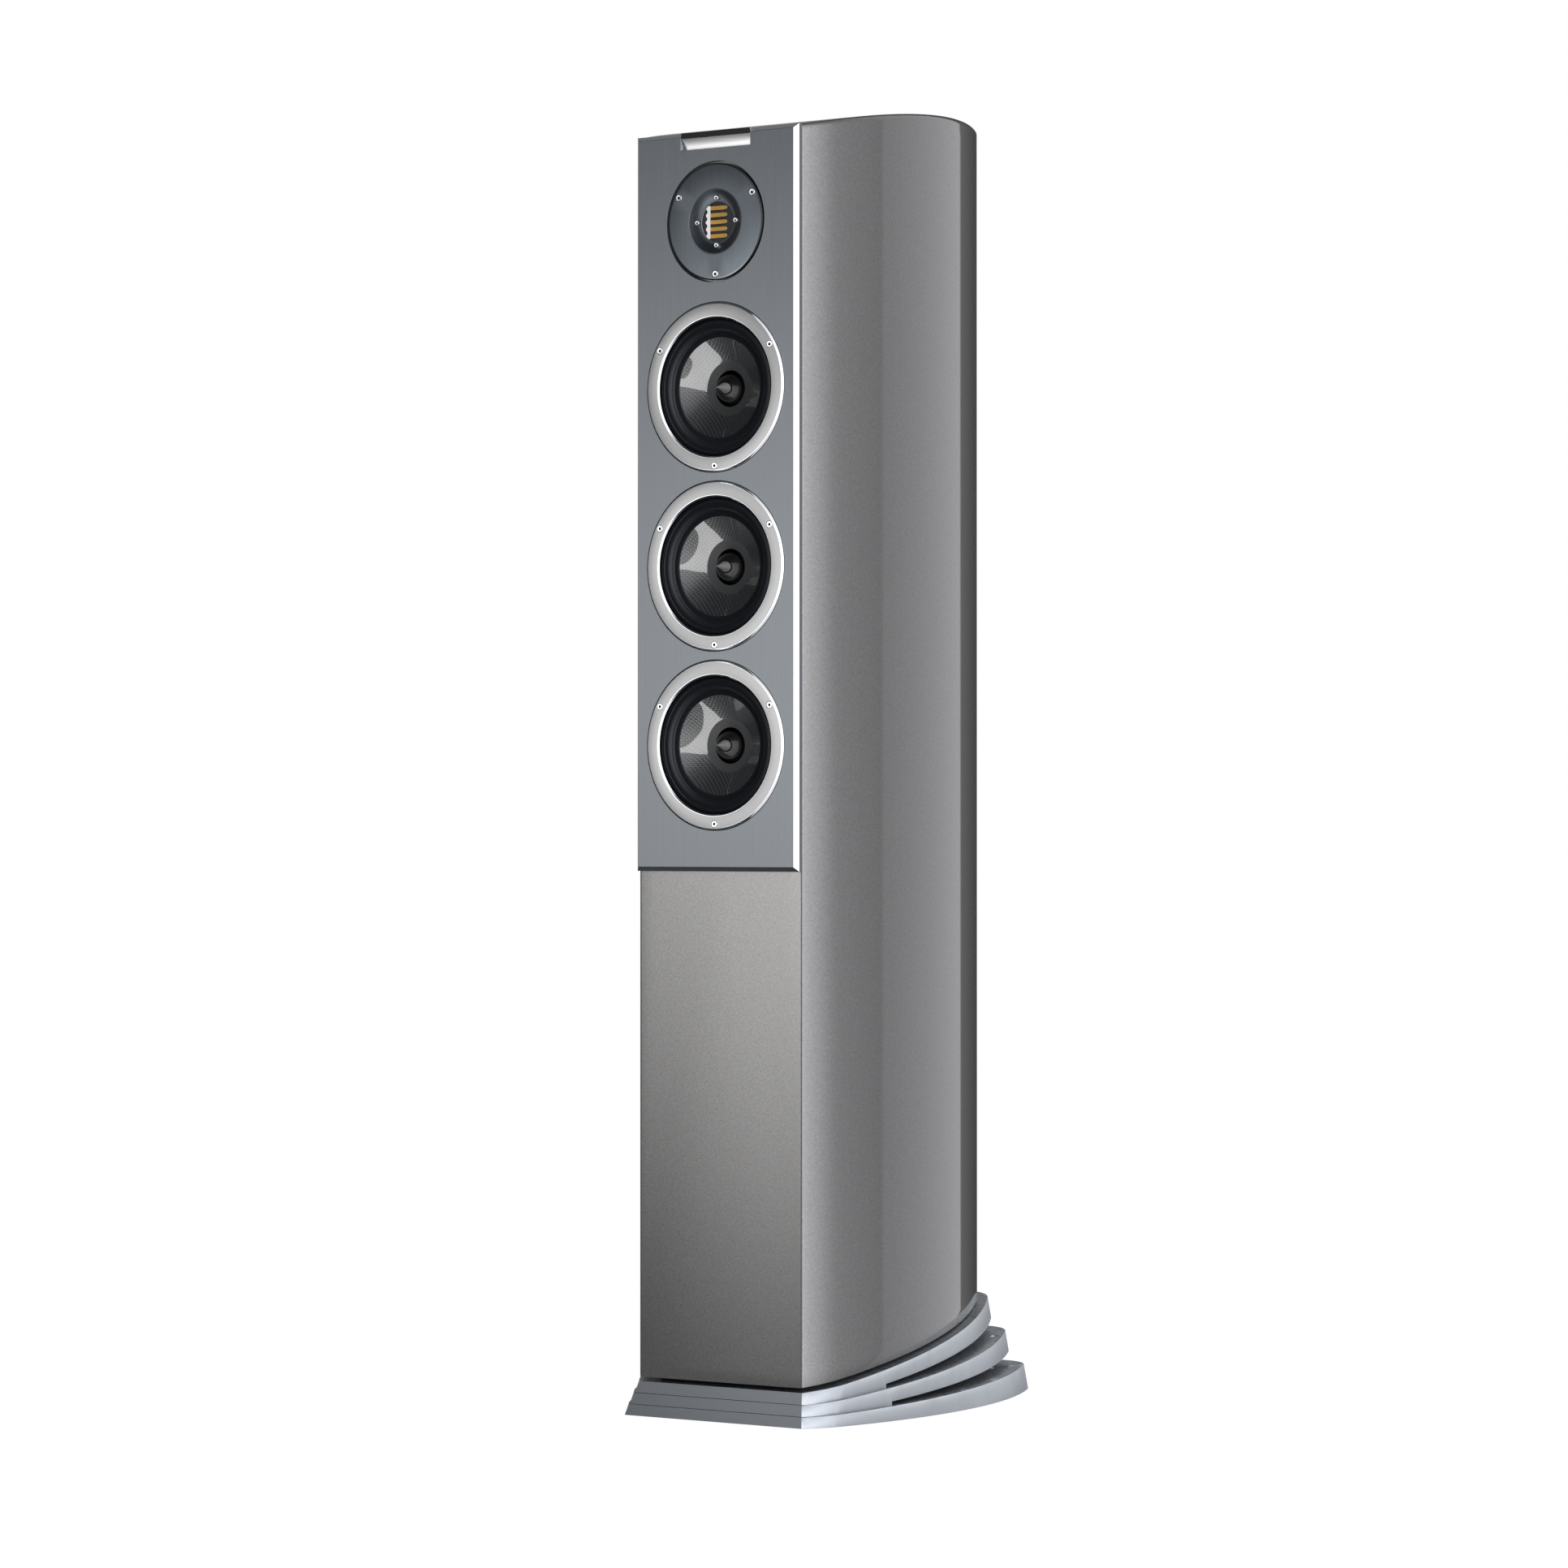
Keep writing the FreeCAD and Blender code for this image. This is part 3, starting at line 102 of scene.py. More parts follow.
# ---------------------------------------------------------------- materials

class Nodes:
    """Adds nodes to one node tree and joins them."""

    def __init__(self, tree):
        self.tree = tree

    def node(self, kind, **settings):
        made = self.tree.nodes.new("ShaderNode" + kind)
        for name, value in settings.items():
            setattr(made, name, value)
        return made

    def feed(self, socket, value):
        if isinstance(value, bpy.types.NodeSocket):
            self.tree.links.new(value, socket)
        else:
            socket.default_value = value

    def maths(self, operation, *values):
        made = self.node("Math", operation=operation)
        for socket, value in zip(made.inputs, values):
            self.feed(socket, value)
        return made.outputs[0]

    def parts(self, vector):
        """The X, Y and Z of a vector."""
        split = self.node("SeparateXYZ")
        self.feed(split.inputs[0], vector)
        return split.outputs

    def spread(self, value, low, high, start=0.0, stop=1.0):
        made = self.node("MapRange")
        for socket, number in zip(made.inputs, (value, start, stop, low, high)):
            self.feed(socket, number)
        return made.outputs[0]

    def mix(self, factor, first, second, blend="MIX"):
        made = self.node("Mix", data_type="RGBA", blend_type=blend)
        self.feed(made.inputs["Factor"], factor)
        colours = [s for s in made.inputs if s.type == "RGBA"]
        for socket, value in zip(colours, (first, second)):
            self.feed(socket, value)
        return next(s for s in made.outputs if s.type == "RGBA")


class Look(Nodes):
    """A procedural material: one Principled shader fed by textures in the piece's space."""

    def __init__(self, name, **values):
        self.material = bpy.data.materials.new(name)
        self.material.use_nodes = True
        super().__init__(self.material.node_tree)
        self.shader = self.tree.nodes["Principled BSDF"]
        self.place = self.node("TexCoord").outputs["Object"]
        for socket, value in values.items():
            self.use(socket.replace("_", " "), value)

    def use(self, socket, value):
        self.feed(self.shader.inputs[socket], value)

    def texture(self, kind, size, stretch, **inputs):
        """The outputs of a texture whose grains are about size millimetres across."""
        mapping, made = self.node("Mapping"), self.node("Tex" + kind)
        self.feed(mapping.inputs["Vector"], self.place)
        self.feed(mapping.inputs["Scale"], stretch)
        inputs.update(Vector=mapping.outputs[0], Scale=1 / (size * MM))
        for name, value in inputs.items():
            self.feed(made.inputs[name], value)
        return made.outputs

    def noise(self, size, detail=2.0, stretch=(1, 1, 1), rough=0.5):
        """Noise from 0 to 1."""
        return self.texture("Noise", size, stretch, Detail=detail, Roughness=rough)[0]

    def cells(self, size, stretch=(1, 1, 1)):
        """A random value from 0 to 1 in each cell."""
        split = self.node("SeparateColor")
        self.feed(split.inputs[0], self.texture("Voronoi", size, stretch)["Color"])
        return split.outputs[0]

    def axis(self, name):
        return self.parts(self.place)[name]

    def upward(self):
        """The upward part of the surface's direction: 1 on a level top, 0 on a wall."""
        return self.parts(self.node("NewGeometry").outputs["Normal"])["Z"]

    def surface(self, texture, dark, light, rough, depth):
        """Colour, gloss and relief that all follow one texture."""
        self.use("Base Color", self.mix(texture, dark, light))
        self.use("Roughness", self.spread(texture, *rough))
        self.bump(texture, depth)
        return self.material

    def bump(self, height, depth, socket="Normal"):
        """Raises the surface by up to depth millimetres where height is 1."""
        made = self.node("Bump")
        self.feed(made.inputs["Distance"], depth * MM)
        self.feed(made.inputs["Height"], height)
        self.use(socket, made.outputs[0])

    def grain(self, axis, rotation=0.0):
        """Turns the stretched highlight of a brushed surface about an axis."""
        tangent = self.node("Tangent", direction_type="RADIAL", axis=axis)
        self.use("Tangent", tangent.outputs[0])
        self.use("Anisotropic Rotation", rotation)


def grey(value, blue=0.0):
    """A linear colour from an sRGB grey from 0 to 255, a little bluer where asked."""
    return rgb(value - blue, value, value + blue)


def rgb(red, green, blue):
    """A linear colour from three sRGB values from 0 to 255."""
    return (*[((v / 255 + 0.055) / 1.055) ** 2.4 for v in (red, green, blue)], 1.0)


def lacquer():
    """Titanium-grey metallic paint with fine flakes under a clear coat."""
    look = Look("titanium_lacquer", Metallic=0.9, Roughness=0.38, Coat_Weight=1.0,
                Coat_Roughness=0.015, Coat_IOR=1.5)
    flakes = look.cells(0.8)
    cloud = look.noise(2.2, 3.0)
    tone = look.maths("ADD", look.maths("MULTIPLY", flakes, 0.45),
                      look.maths("MULTIPLY", cloud, 0.55))
    look.use("Base Color", look.mix(tone, grey(108, -1), grey(144, -1)))
    look.bump(flakes, 0.012)
    return look.material


def slate(name, dark, light, rough, blue=4):
    """Satin anodised plate with fine vertical brushing."""
    look = Look(name, Metallic=0.8, Anisotropic=0.5)
    brushed = look.noise(0.9, 3.0, (1, 1, 0.012), 0.7)
    look.grain("Z")
    return look.surface(brushed, grey(dark, blue), grey(light, blue),
                        (rough - 0.05, rough + 0.05), 0.004)


def brushed_badge():
    """Bright plate brushed from side to side."""
    look = Look("brushed_badge", Metallic=1.0, Anisotropic=0.75)
    lines = look.noise(0.5, 3.0, (0.02, 1, 1), 0.7)
    look.grain("X")
    return look.surface(lines, grey(176), grey(232), (0.20, 0.30), 0.004)


def spun_aluminium():
    """Fine turning marks round the axis of a trim ring."""
    look = Look("spun_aluminium", Metallic=1.0, Anisotropic=0.7)
    across = look.maths("SQRT", look.maths("ADD", look.maths("POWER", look.axis("X"), 2.0),
                                           look.maths("POWER", look.axis("Z"), 2.0)))
    ring = look.node("CombineXYZ")
    look.feed(ring.inputs[0], across)
    marks = look.node("TexNoise")
    marks_per_metre = 2600.0
    look.feed(marks.inputs["Vector"], ring.outputs[0])
    look.feed(marks.inputs["Scale"], marks_per_metre)
    look.grain("Y", 0.25)
    return look.surface(marks.outputs[0], grey(134), grey(164), (0.28, 0.36), 0.003)


def plain(name, dark, light, size=1.0, rough=(0.4, 0.6), depth=0.01, blue=0, **values):
    """Moulded or painted surface with a fine grain."""
    look = Look(name, **values)
    return look.surface(look.noise(size, 4.0), grey(dark, blue), grey(light, blue), rough, depth)


def silver_paint():
    """Pale silver-blue satin paint on the rims; darker, mottled colour and relief on faces that
    lie level.
    """
    look = Look("plinth_paint", Metallic=0.85)
    fine = look.noise(0.7, 4.0)
    coarse = look.noise(5.0, 4.0)
    rim = look.mix(fine, grey(182, 5), grey(206, 5))
    level = look.mix(look.spread(coarse, 0.0, 1.0, 0.35, 0.65), grey(120, 5), grey(165, 5))
    facing = look.maths("ABSOLUTE", look.upward())
    up = look.spread(facing, 0.0, 1.0, 0.80, 0.90)
    look.use("Base Color", look.mix(up, rim, level))
    look.use("Roughness", look.spread(fine, 0.36, 0.48))
    look.bump(look.maths("MULTIPLY", coarse, up), 0.08)
    return look.material


def woven_fibre():
    """Glossy plain weave of dark carbon-like fibre."""
    look = Look("woven_fibre", Coat_Weight=0.8, Coat_Roughness=0.03, Specular_IOR_Level=0.4)
    pitch = 1.9 * MM
    across = look.maths("DIVIDE", look.axis("X"), pitch)
    up = look.maths("DIVIDE", look.axis("Z"), pitch)
    warp = look.maths("ABSOLUTE", look.maths("SINE", look.maths("MULTIPLY", across, pi)))
    weft = look.maths("ABSOLUTE", look.maths("SINE", look.maths("MULTIPLY", up, pi)))
    cell = look.maths("ADD", look.maths("FLOOR", across), look.maths("FLOOR", up))
    over = look.maths("FLOORED_MODULO", cell, 2.0)
    under = look.maths("SUBTRACT", 1.0, over)
    height = look.maths("ADD", look.maths("MULTIPLY", over, warp),
                        look.maths("MULTIPLY", under, weft))
    fray = look.noise(0.35, 2.0)
    look.use("Base Color", look.mix(over, grey(16, 1), grey(38, 1)))
    look.use("Roughness", look.spread(fray, 0.30, 0.45))
    look.bump(look.maths("ADD", height, look.maths("MULTIPLY", fray, 0.2)), 0.10)
    return look.material


def pleated_gold():
    """Thin folds of gold-coloured film, running up and down."""
    look = Look("gold_film", Metallic=1.0, Roughness=0.33)
    folds = look.node("TexWave", bands_direction="X")
    wave_scale = 420.0
    look.feed(folds.inputs["Vector"], look.place)
    look.feed(folds.inputs["Scale"], wave_scale)
    look.feed(folds.inputs["Distortion"], 0.6)
    folds = folds.outputs[1]
    look.use("Base Color", look.mix(folds, rgb(206, 154, 74), rgb(246, 204, 122)))
    look.bump(folds, 0.12)
    return look.material


def board_fibre():
    """Medium-density board seen inside the cabinet."""
    look = Look("board_fibre")
    fibres = look.noise(1.2, 5.0, (1, 1, 0.4))
    return look.surface(fibres, rgb(108, 84, 58), rgb(150, 120, 86), (0.8, 0.95), 0.05)


def circuit_green():
    """Circuit board with paler tracks under a thin varnish."""
    look = Look("circuit_green", Coat_Weight=0.4, Coat_Roughness=0.2)
    tracks = look.cells(6.0, (1, 1, 0.4))
    look.use("Base Color", look.mix(look.spread(tracks, 0, 1, 0.5, 0.55),
                                    rgb(18, 66, 40), rgb(40, 104, 66)))
    look.use("Roughness", look.spread(tracks, 0.35, 0.5))
    look.bump(look.noise(0.8, 2.0), 0.01)
    return look.material


def spider_cloth():
    """Stiffened yellow-brown cloth."""
    look = Look("spider_cloth")
    return look.surface(look.noise(0.5), rgb(150, 118, 60), rgb(196, 164, 96), (0.8, 0.95), 0.08)


LOOKS = {
    "lacquer": lacquer(),
    "board": board_fibre(),
    "slate": slate("satin_slate", 116, 134, 0.40),
    "tweeter_slate": slate("tweeter_slate", 98, 118, 0.36, 6),
    "dish": plain("dish_satin", 78, 92, 1.4, (0.28, 0.36), 0.002, 5, Metallic=0.9),
    "badge": brushed_badge(),
    "badge_dark": plain("badge_shadow_band", 34, 44, 0.8, (0.2, 0.3), 0.002, 1, Metallic=0.8),
    "spun": spun_aluminium(),
    "polished": plain("polished_edge", 214, 232, 2.0, (0.08, 0.13), 0.001, 2, Metallic=1.0),
    "silver": silver_paint(),
    "black": plain("satin_black", 12, 20, 1.0, (0.4, 0.55), 0.01),
    "rubber": plain("soft_rubber", 21, 31, 1.6, (0.42, 0.52), 0.015, 5),
    "collar": plain("matt_collar", 12, 18, 0.8, (0.6, 0.75), 0.012, 2),
    "fibre": woven_fibre(),
    "plug": plain("gloss_plug", 6, 10, 3.0, (0.07, 0.12), 0.001, Coat_Weight=1.0,
                  Coat_Roughness=0.03),
    "chrome": plain("bright_steel", 205, 235, 0.6, (0.12, 0.2), 0.003, 1, Metallic=1.0),
    # Painted shade for the insides of the screw sockets.
    "socket": plain("dark_socket", 20, 36, 0.5, (0.4, 0.6), 0.01, 0, Metallic=0.6),
    "cast": plain("cast_basket", 52, 74, 1.2, (0.45, 0.6), 0.04, 0, Metallic=0.7),
    "magnet": plain("magnet_steel", 58, 92, 2.0, (0.3, 0.5), 0.02, 0, Metallic=0.9),
    "copper": plain("coil_copper", 96, 120, 0.3, (0.3, 0.45), 0.03, -30, Metallic=1.0),
    "cloth": spider_cloth(),
    "gold": pleated_gold(),
    "white": plain("pale_edge_film", 236, 252, 0.7, (0.3, 0.5), 0.01),
    "light_rim": plain("milled_rim", 120, 150, 0.6, (0.14, 0.22), 0.004, 3, Metallic=1.0),
    "plastic": plain("black_plastic", 24, 32, 0.5, (0.4, 0.55), 0.02),
    "brass": plain("plated_brass", 206, 232, 0.5, (0.14, 0.24), 0.003, -44, Metallic=1.0),
    "cap": plain("terminal_cap", 30, 42, 0.5, (0.35, 0.5), 0.01),
    "circuit": circuit_green(),
    "foot": plain("foot_rubber", 20, 30, 0.8, (0.7, 0.85), 0.03),
}


# ---------------------------------------------------------------- meshes

def inside(point, outline):
    """Whether a point lies inside a closed outline, both flat."""
    crossings = 0
    for one, two in zip(outline, outline[1:] + outline[:1]):
        if (one.y > point.y) != (two.y > point.y):
            share = (point.y - one.y) / (two.y - one.y)
            crossings += point.x < one.x + (two.x - one.x) * share
    return crossings % 2 == 1


class Build:
    """Collects loops of points, and the faces between them, that make one closed mesh.

    A face's mark is the place of its look in the piece's list of looks.
    """

    def __init__(self):
        self.points, self.faces, self.marks = [], [], []

    def loop(self, points):
        first = len(self.points)
        self.points += [tuple(p) for p in points]
        return list(range(first, len(self.points)))

    def rings(self, profile, count, x=0.0, z=0.0):
        """A circle for each (radius, y), or one point where the radius is 0."""
        return [self.loop(ring_points(radius, y, count, x, z) if radius else [(x, y, z)])
                for radius, y in profile]

    def face(self, corners, mark=0):
        self.faces.append(list(corners))
        self.marks.append(mark)

    def bridge(self, one, two, mark=0, closed=True, skip=()):
        count = len(one)
        for i in range(count if closed else count - 1):
            j = (i + 1) % count
            if i in skip:
                continue
            if len(two) == 1:
                self.face([one[i], one[j], two[0]], mark)
            elif len(one) == 1:
                self.face([one[0], two[j], two[i]], mark)
            else:
                self.face([one[i], one[j], two[j], two[i]], mark)

    def chain(self, loops, mark=0):
        """Bridges each loop to the next."""
        for one, two in zip(loops, loops[1:]):
            self.bridge(one, two, mark)

    def fill(self, rim, holes=(), mark=0):
        """A flat face inside the rim, round the holes."""
        rings = [rim, *holes]
        order = [v for ring in rings for v in ring]
        places = np.array([self.points[v] for v in order])
        axes = sorted(range(3), key=lambda axis: -np.ptp(places[:, axis]))[:2]
        flat = [Vector(place[axes]) for place in places]
        edges, first = [], 0
        for ring in rings:
            size = len(ring)
            edges += [(first + i, first + (i + 1) % size) for i in range(size)]
            first += size
        outlines = [[Vector([self.points[v][axis] for axis in axes]) for v in ring]
                    for ring in holes]
        corners_of, origin = delaunay_2d_cdt(flat, edges, [], 1, 1e-6)[2:4]
        for corners in corners_of:
            centre = sum((flat[origin[i][0]] for i in corners), Vector((0, 0))) / len(corners)
            if not any(inside(centre, outline) for outline in outlines):
                self.face([order[origin[i][0]] for i in corners], mark)

    def openings(self, outlines, rims, marks=(0, 0, 0)):
        """Two flat faces inside the rims, with openings through both and walls between.

        Each outline gives an opening's points from its place along Y, each rim is its loop and
        that place, and the marks are those of the walls and of the two faces.
        """
        ends = [[self.loop(outline(y)) for outline in outlines] for _, y in rims]
        for one, two in zip(*ends):
            self.bridge(one, two, marks[0])
        for (rim, _), holes, mark in zip(rims, ends, marks[1:]):
            self.fill(rim, holes, mark)

    def ladder(self, loop, mark=0):
        """Strips across a loop whose point i mirrors its point -1 - i."""
        count = len(loop)
        for i in range(count // 2 - 1):
            self.face([loop[i], loop[i + 1], loop[count - 2 - i], loop[count - 1 - i]], mark)

    def piece(self, name, body, looks, at=(0, 0, 0), soft=0.0, sharp=32.0, slot=None,
              replaces=()):
        mesh = bpy.data.meshes.new(name)
        mesh.from_pydata([Vector(p) * MM for p in self.points], [], self.faces)
        mesh.polygons.foreach_set("material_index", self.marks)
        for look in looks:
            mesh.materials.append(LOOKS[look])
        tidy(mesh)
        mesh.shade_smooth()
        mesh.set_sharp_from_angle(angle=radians(sharp))
        made = bpy.data.objects.new(name, mesh)
        bpy.context.scene.collection.objects.link(made)
        made.location = Vector(at) * MM
        if soft:
            soften(made, soft)
        if body:
            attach(made, body)
        if replaces:
            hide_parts(*replaces)
        return made


SAME_POINT = 0.002 * MM


def tidy(mesh):
    """Drops faces without area and turns every face outwards."""
    shape = bmesh.new()
    shape.from_mesh(mesh)
    bmesh.ops.remove_doubles(shape, verts=shape.verts, dist=SAME_POINT)
    bmesh.ops.dissolve_degenerate(shape, edges=shape.edges, dist=SAME_POINT / 2)
    bmesh.ops.recalc_face_normals(shape, faces=shape.faces)
    shape.to_mesh(mesh)
    shape.free()


def soften(piece, width, segments=2, angle=30.0):
    """Rounds the sharp edges of a piece by width millimetres."""
    bevel = piece.modifiers.new("Edges", "BEVEL")
    bevel.width = width * MM
    bevel.segments = segments
    bevel.limit_method = "ANGLE"
    bevel.angle_limit = radians(angle)
    bevel.harden_normals = True
    bevel.use_clamp_overlap = True
    bevel.miter_outer = "MITER_ARC"


def ring_points(radius, y, count, x=0.0, z=0.0, turn=0.0):
    """Points round a circle that faces along Y."""
    angles = [turn + 2 * pi * i / count for i in range(count)]
    return [(x + radius * cos(a), y, z + radius * sin(a)) for a in angles]


def round_holes(holes, count):
    """Outlines for Build.openings, from a list of (radius, height)."""
    return [lambda y, r=radius, z=z: ring_points(r, y, count, 0, z) for radius, z in holes]


def lathe(name, body, looks, profile, at, marks=None, count=96, closed=True, **options):
    """A turned piece round the Y axis through at, from a list of (radius, y)."""
    build = Build()
    loops = build.rings(profile, count)
    pairs = list(zip(loops, loops[1:]))
    if closed:
        pairs.append((loops[-1], loops[0]))
    for number, (one, two) in enumerate(pairs):
        if len(one) == len(two) == 1:
            continue
        mark = marks[number] if marks else 0
        if len(one) == 1:
            one, two = two, one
        build.bridge(one, two, mark)
    return build.piece(name, body, looks, at, **options)


def rounded(points, radius, steps=4, closed=True):
    """A polygon with each corner turned into a short curve of about that radius."""
    result = []
    count = len(points)
    for i, point in enumerate(points):
        if not closed and i in (0, count - 1):
            result.append(tuple(point))
            continue
        here = Vector(point)
        before, after = Vector(points[i - 1]), Vector(points[(i + 1) % count])
        reach = min(radius, (before - here).length * 0.45, (after - here).length * 0.45)
        start = here + (before - here).normalized() * reach
        stop = here + (after - here).normalized() * reach
        for step in range(steps + 1):
            t = step / steps
            result.append(tuple(start * (1 - t) ** 2 + here * (2 * t * (1 - t)) + stop * t ** 2))
    return result


# ---------------------------------------------------------------- outline seen from above

def arc(centre, start, stop, steps):
    """Points after start, up to stop, on the circle round centre."""
    first = math.atan2(start.y - centre.y, start.x - centre.x)
    last = math.atan2(stop.y - centre.y, stop.x - centre.x)
    radius = (start - centre).length
    angles = [first + (last - first) * i / steps for i in range(1, steps + 1)]
    return [Vector((centre.x + radius * cos(a), centre.y + radius * sin(a))) for a in angles]


BELLY_HALF = 105.6
BELLY_Y = -107.0
SIDE_RADIUS = 527.0
SHOULDER = 40.0
REAR_FILLET = 8.0
BOARD = 18.0
FILLET_LESS_INSIDE = 6.0


def half_plan(inset, front_inset, corner):
    """The right half of the cabinet's outline, front to rear, set in by inset millimetres."""
    front = Vector((FRONT_HALF - inset, FRONT_Y + front_inset))
    rear_y = REAR_Y - inset
    radius = SIDE_RADIUS - inset
    fillet = REAR_FILLET - FILLET_LESS_INSIDE * inset / BOARD
    side = Vector((BELLY_HALF - inset - radius, BELLY_Y))
    shoulder_y = front.y + SHOULDER
    rise = shoulder_y - side.y
    shoulder = side + Vector((sqrt(radius ** 2 - rise ** 2), rise))
    inward = (side - shoulder).normalized()
    chord = shoulder - front
    tight = shoulder - inward * (chord.length_squared / (2 * inward.dot(chord)))
    reach = radius - fillet
    drop = rear_y - fillet - side.y
    bend = side + Vector((sqrt(reach ** 2 - drop ** 2), drop))
    turn_point = side + (bend - side) * (radius / reach)
    rear = Vector((bend.x, rear_y))
    points = [front, *arc(tight, front, shoulder, 6), *arc(side, shoulder, turn_point, 30),
              *arc(bend, turn_point, rear, 7)]
    along = (points[1] - front).normalized()
    start, stop = front - Vector((corner, 0)), front + along * corner
    curve = [start * (1 - t) ** 2 + front * (2 * t * (1 - t)) + stop * t ** 2
             for t in (0, 0.2, 0.4, 0.6, 0.8, 1)]
    return curve + points[1:]


def full_plan(*sizes):
    """The whole outline, whose point i mirrors its point -1 - i."""
    right = half_plan(*sizes)
    return right + [Vector((-p.x, p.y)) for p in reversed(right)]


TOP_RADIUS = 1773.0
CREST_Y = 154.0
ARCH_Z = TOP_FRONT_Z - sqrt(TOP_RADIUS ** 2 - (CREST_Y - FRONT_Y) ** 2)
BOTTOM_FRONT_Z = span("bottom_panel")[0].z
BOTTOM_SLOPE = 0.14


def top_z(y):
    """Height of the arched top at a depth y."""
    return ARCH_Z + sqrt(TOP_RADIUS ** 2 - (y - CREST_Y) ** 2)


def bottom_z(y):
    """Height of the sloping underside at a depth y."""
    return BOTTOM_FRONT_Z + BOTTOM_SLOPE * (y - FRONT_Y)


# ---------------------------------------------------------------- cabinet

# A little thinner than the CAD boards, so that the narrow rear wall holds the port's hole.
WALL = 16.0
FRONT_WALL = 22.0
EDGE_ROUND = 5.0
LOWER_ROUND = 1.0
WALL_MARGIN = 12.0
CORNER = 2.0
INNER_CORNER = 0.2
WOOFER_HOLE = 70.5
TWEETER_HOLE = 38.0
PORT_HOLE = 23.0
POST_HOLE = 8.5


def cabinet_shell():
    """All six boards as one hollow shell, rounded along its edges and bored for the fittings."""
    build = Build()

    def level(edge, lift, inset, front_inset=0.0, corner=CORNER):
        plan = full_plan(inset, front_inset, corner)
        return build.loop([(p.x, p.y, edge(p.y) + lift) for p in plan])

    turns = [radians(angle) for angle in (0, 45, 90)]
    levels = [level(bottom_z, LOWER_ROUND * (1 - cos(a)), LOWER_ROUND * (1 - sin(a)))
              for a in turns]
    walls_from = len(levels)
    levels += [level(bottom_z, WALL_MARGIN, 0), level(top_z, -EDGE_ROUND - WALL_MARGIN, 0)]
    turns = [radians(angle) for angle in range(0, 91, 15)]
    levels += [level(top_z, -EDGE_ROUND * (1 - sin(a)), EDGE_ROUND * (1 - cos(a)))
               for a in turns]

    count = len(levels[0])
    last = count - 1
    rear_gap = count // 2 - 1
    for number, (one, two) in enumerate(zip(levels, levels[1:])):
        skip = (last, rear_gap) if number == walls_from else (last,)
        build.bridge(one, two, 0, skip=skip)
    build.ladder(levels[0])
    build.ladder(levels[-1])

    inner = [level(edge, lift, WALL, FRONT_WALL, INNER_CORNER)
             for edge, lift in ((bottom_z, WALL), (top_z, -WALL))]
    build.bridge(*inner, 1, skip=(last, rear_gap))
    build.ladder(inner[0], 1)
    build.ladder(inner[1], 1)

    front_rim = [loop[0] for loop in levels] + [loop[last] for loop in reversed(levels)]
    inner_front = [inner[0][0], inner[1][0], inner[1][last], inner[0][last]]
    front_holes = [(WOOFER_HOLE, place.z) for place in WOOFER_PLACES.values()]
    front_holes.append((TWEETER_HOLE, TWEETER_PLACE.z))
    build.openings(round_holes(front_holes, 64),
                   [(front_rim, FRONT_Y), (inner_front, FRONT_Y + FRONT_WALL)], (1, 0, 1))

    low, high = levels[walls_from], levels[walls_from + 1]
    rear_rim = [low[rear_gap], high[rear_gap], high[rear_gap + 1], low[rear_gap + 1]]
    inner_rear = [inner[0][rear_gap], inner[1][rear_gap], inner[1][rear_gap + 1],
                  inner[0][rear_gap + 1]]
    posts = [middle(f"terminal_washer_{name}").z for name in ("positive", "negative")]
    rear_holes = [(PORT_HOLE, PORT_PLACE.z), *[(POST_HOLE, z) for z in posts]]
    build.openings(round_holes(rear_holes, 48), [(rear_rim, REAR_Y), (inner_rear, REAR_Y - WALL)],
                   (1, 0, 1))

    build.piece("cabinet_shell", CABINET, ["lacquer", "board"], soft=0.35, slot="cabinet_lacquer",
                sharp=40, replaces=["top_panel", "bottom_panel", "front_panel", "rear_panel",
                                    "side_panel_left", "side_panel_right"])


# ---------------------------------------------------------------- fascia and badge

CHAMFER = 3.8
NOTCH_HALF = 38.3
NOTCH_HIGH = 15.5
WOOFER_SEAT = 75.6
TWEETER_SEAT = 53.7


def fascia():
    """Slate plate with polished chamfers, bored for the drivers and notched for the badge."""
    build = Build()
    half, low, top = FRONT_HALF, FASCIA_LOW.z, TOP_FRONT_Z
    notch_z = top - NOTCH_HIGH

    def outline(y, inset):
        return build.loop([
            (x, y, z) for x, z in (
                (-half + inset, low + inset),
                (half - inset, low + inset),
                (half - inset, top - inset),
                (NOTCH_HALF, top - inset),
                (NOTCH_HALF, notch_z),
                (-NOTCH_HALF, notch_z),
                (-NOTCH_HALF, top - inset),
                (-half + inset, top - inset),
            )
        ])

    back = outline(FRONT_Y, 0)
    edge = outline(FACE_Y + CHAMFER, 0)
    face = outline(FACE_Y, CHAMFER)
    build.bridge(back, edge)
    build.bridge(edge, face, 1, skip=(3, 4, 5))
    build.bridge(edge, face, 0, skip=(0, 1, 2, 6, 7))
    circles = [(WOOFER_SEAT, place.z) for place in WOOFER_PLACES.values()]
    circles.append((TWEETER_SEAT, TWEETER_PLACE.z))
    build.openings(round_holes(circles, 128), [(back, FRONT_Y), (face, FACE_Y)])
    build.piece("fascia", CABINET, ["slate", "polished"], soft=0.3, slot="fascia_slate",
                replaces=["fascia_plate"], sharp=30)


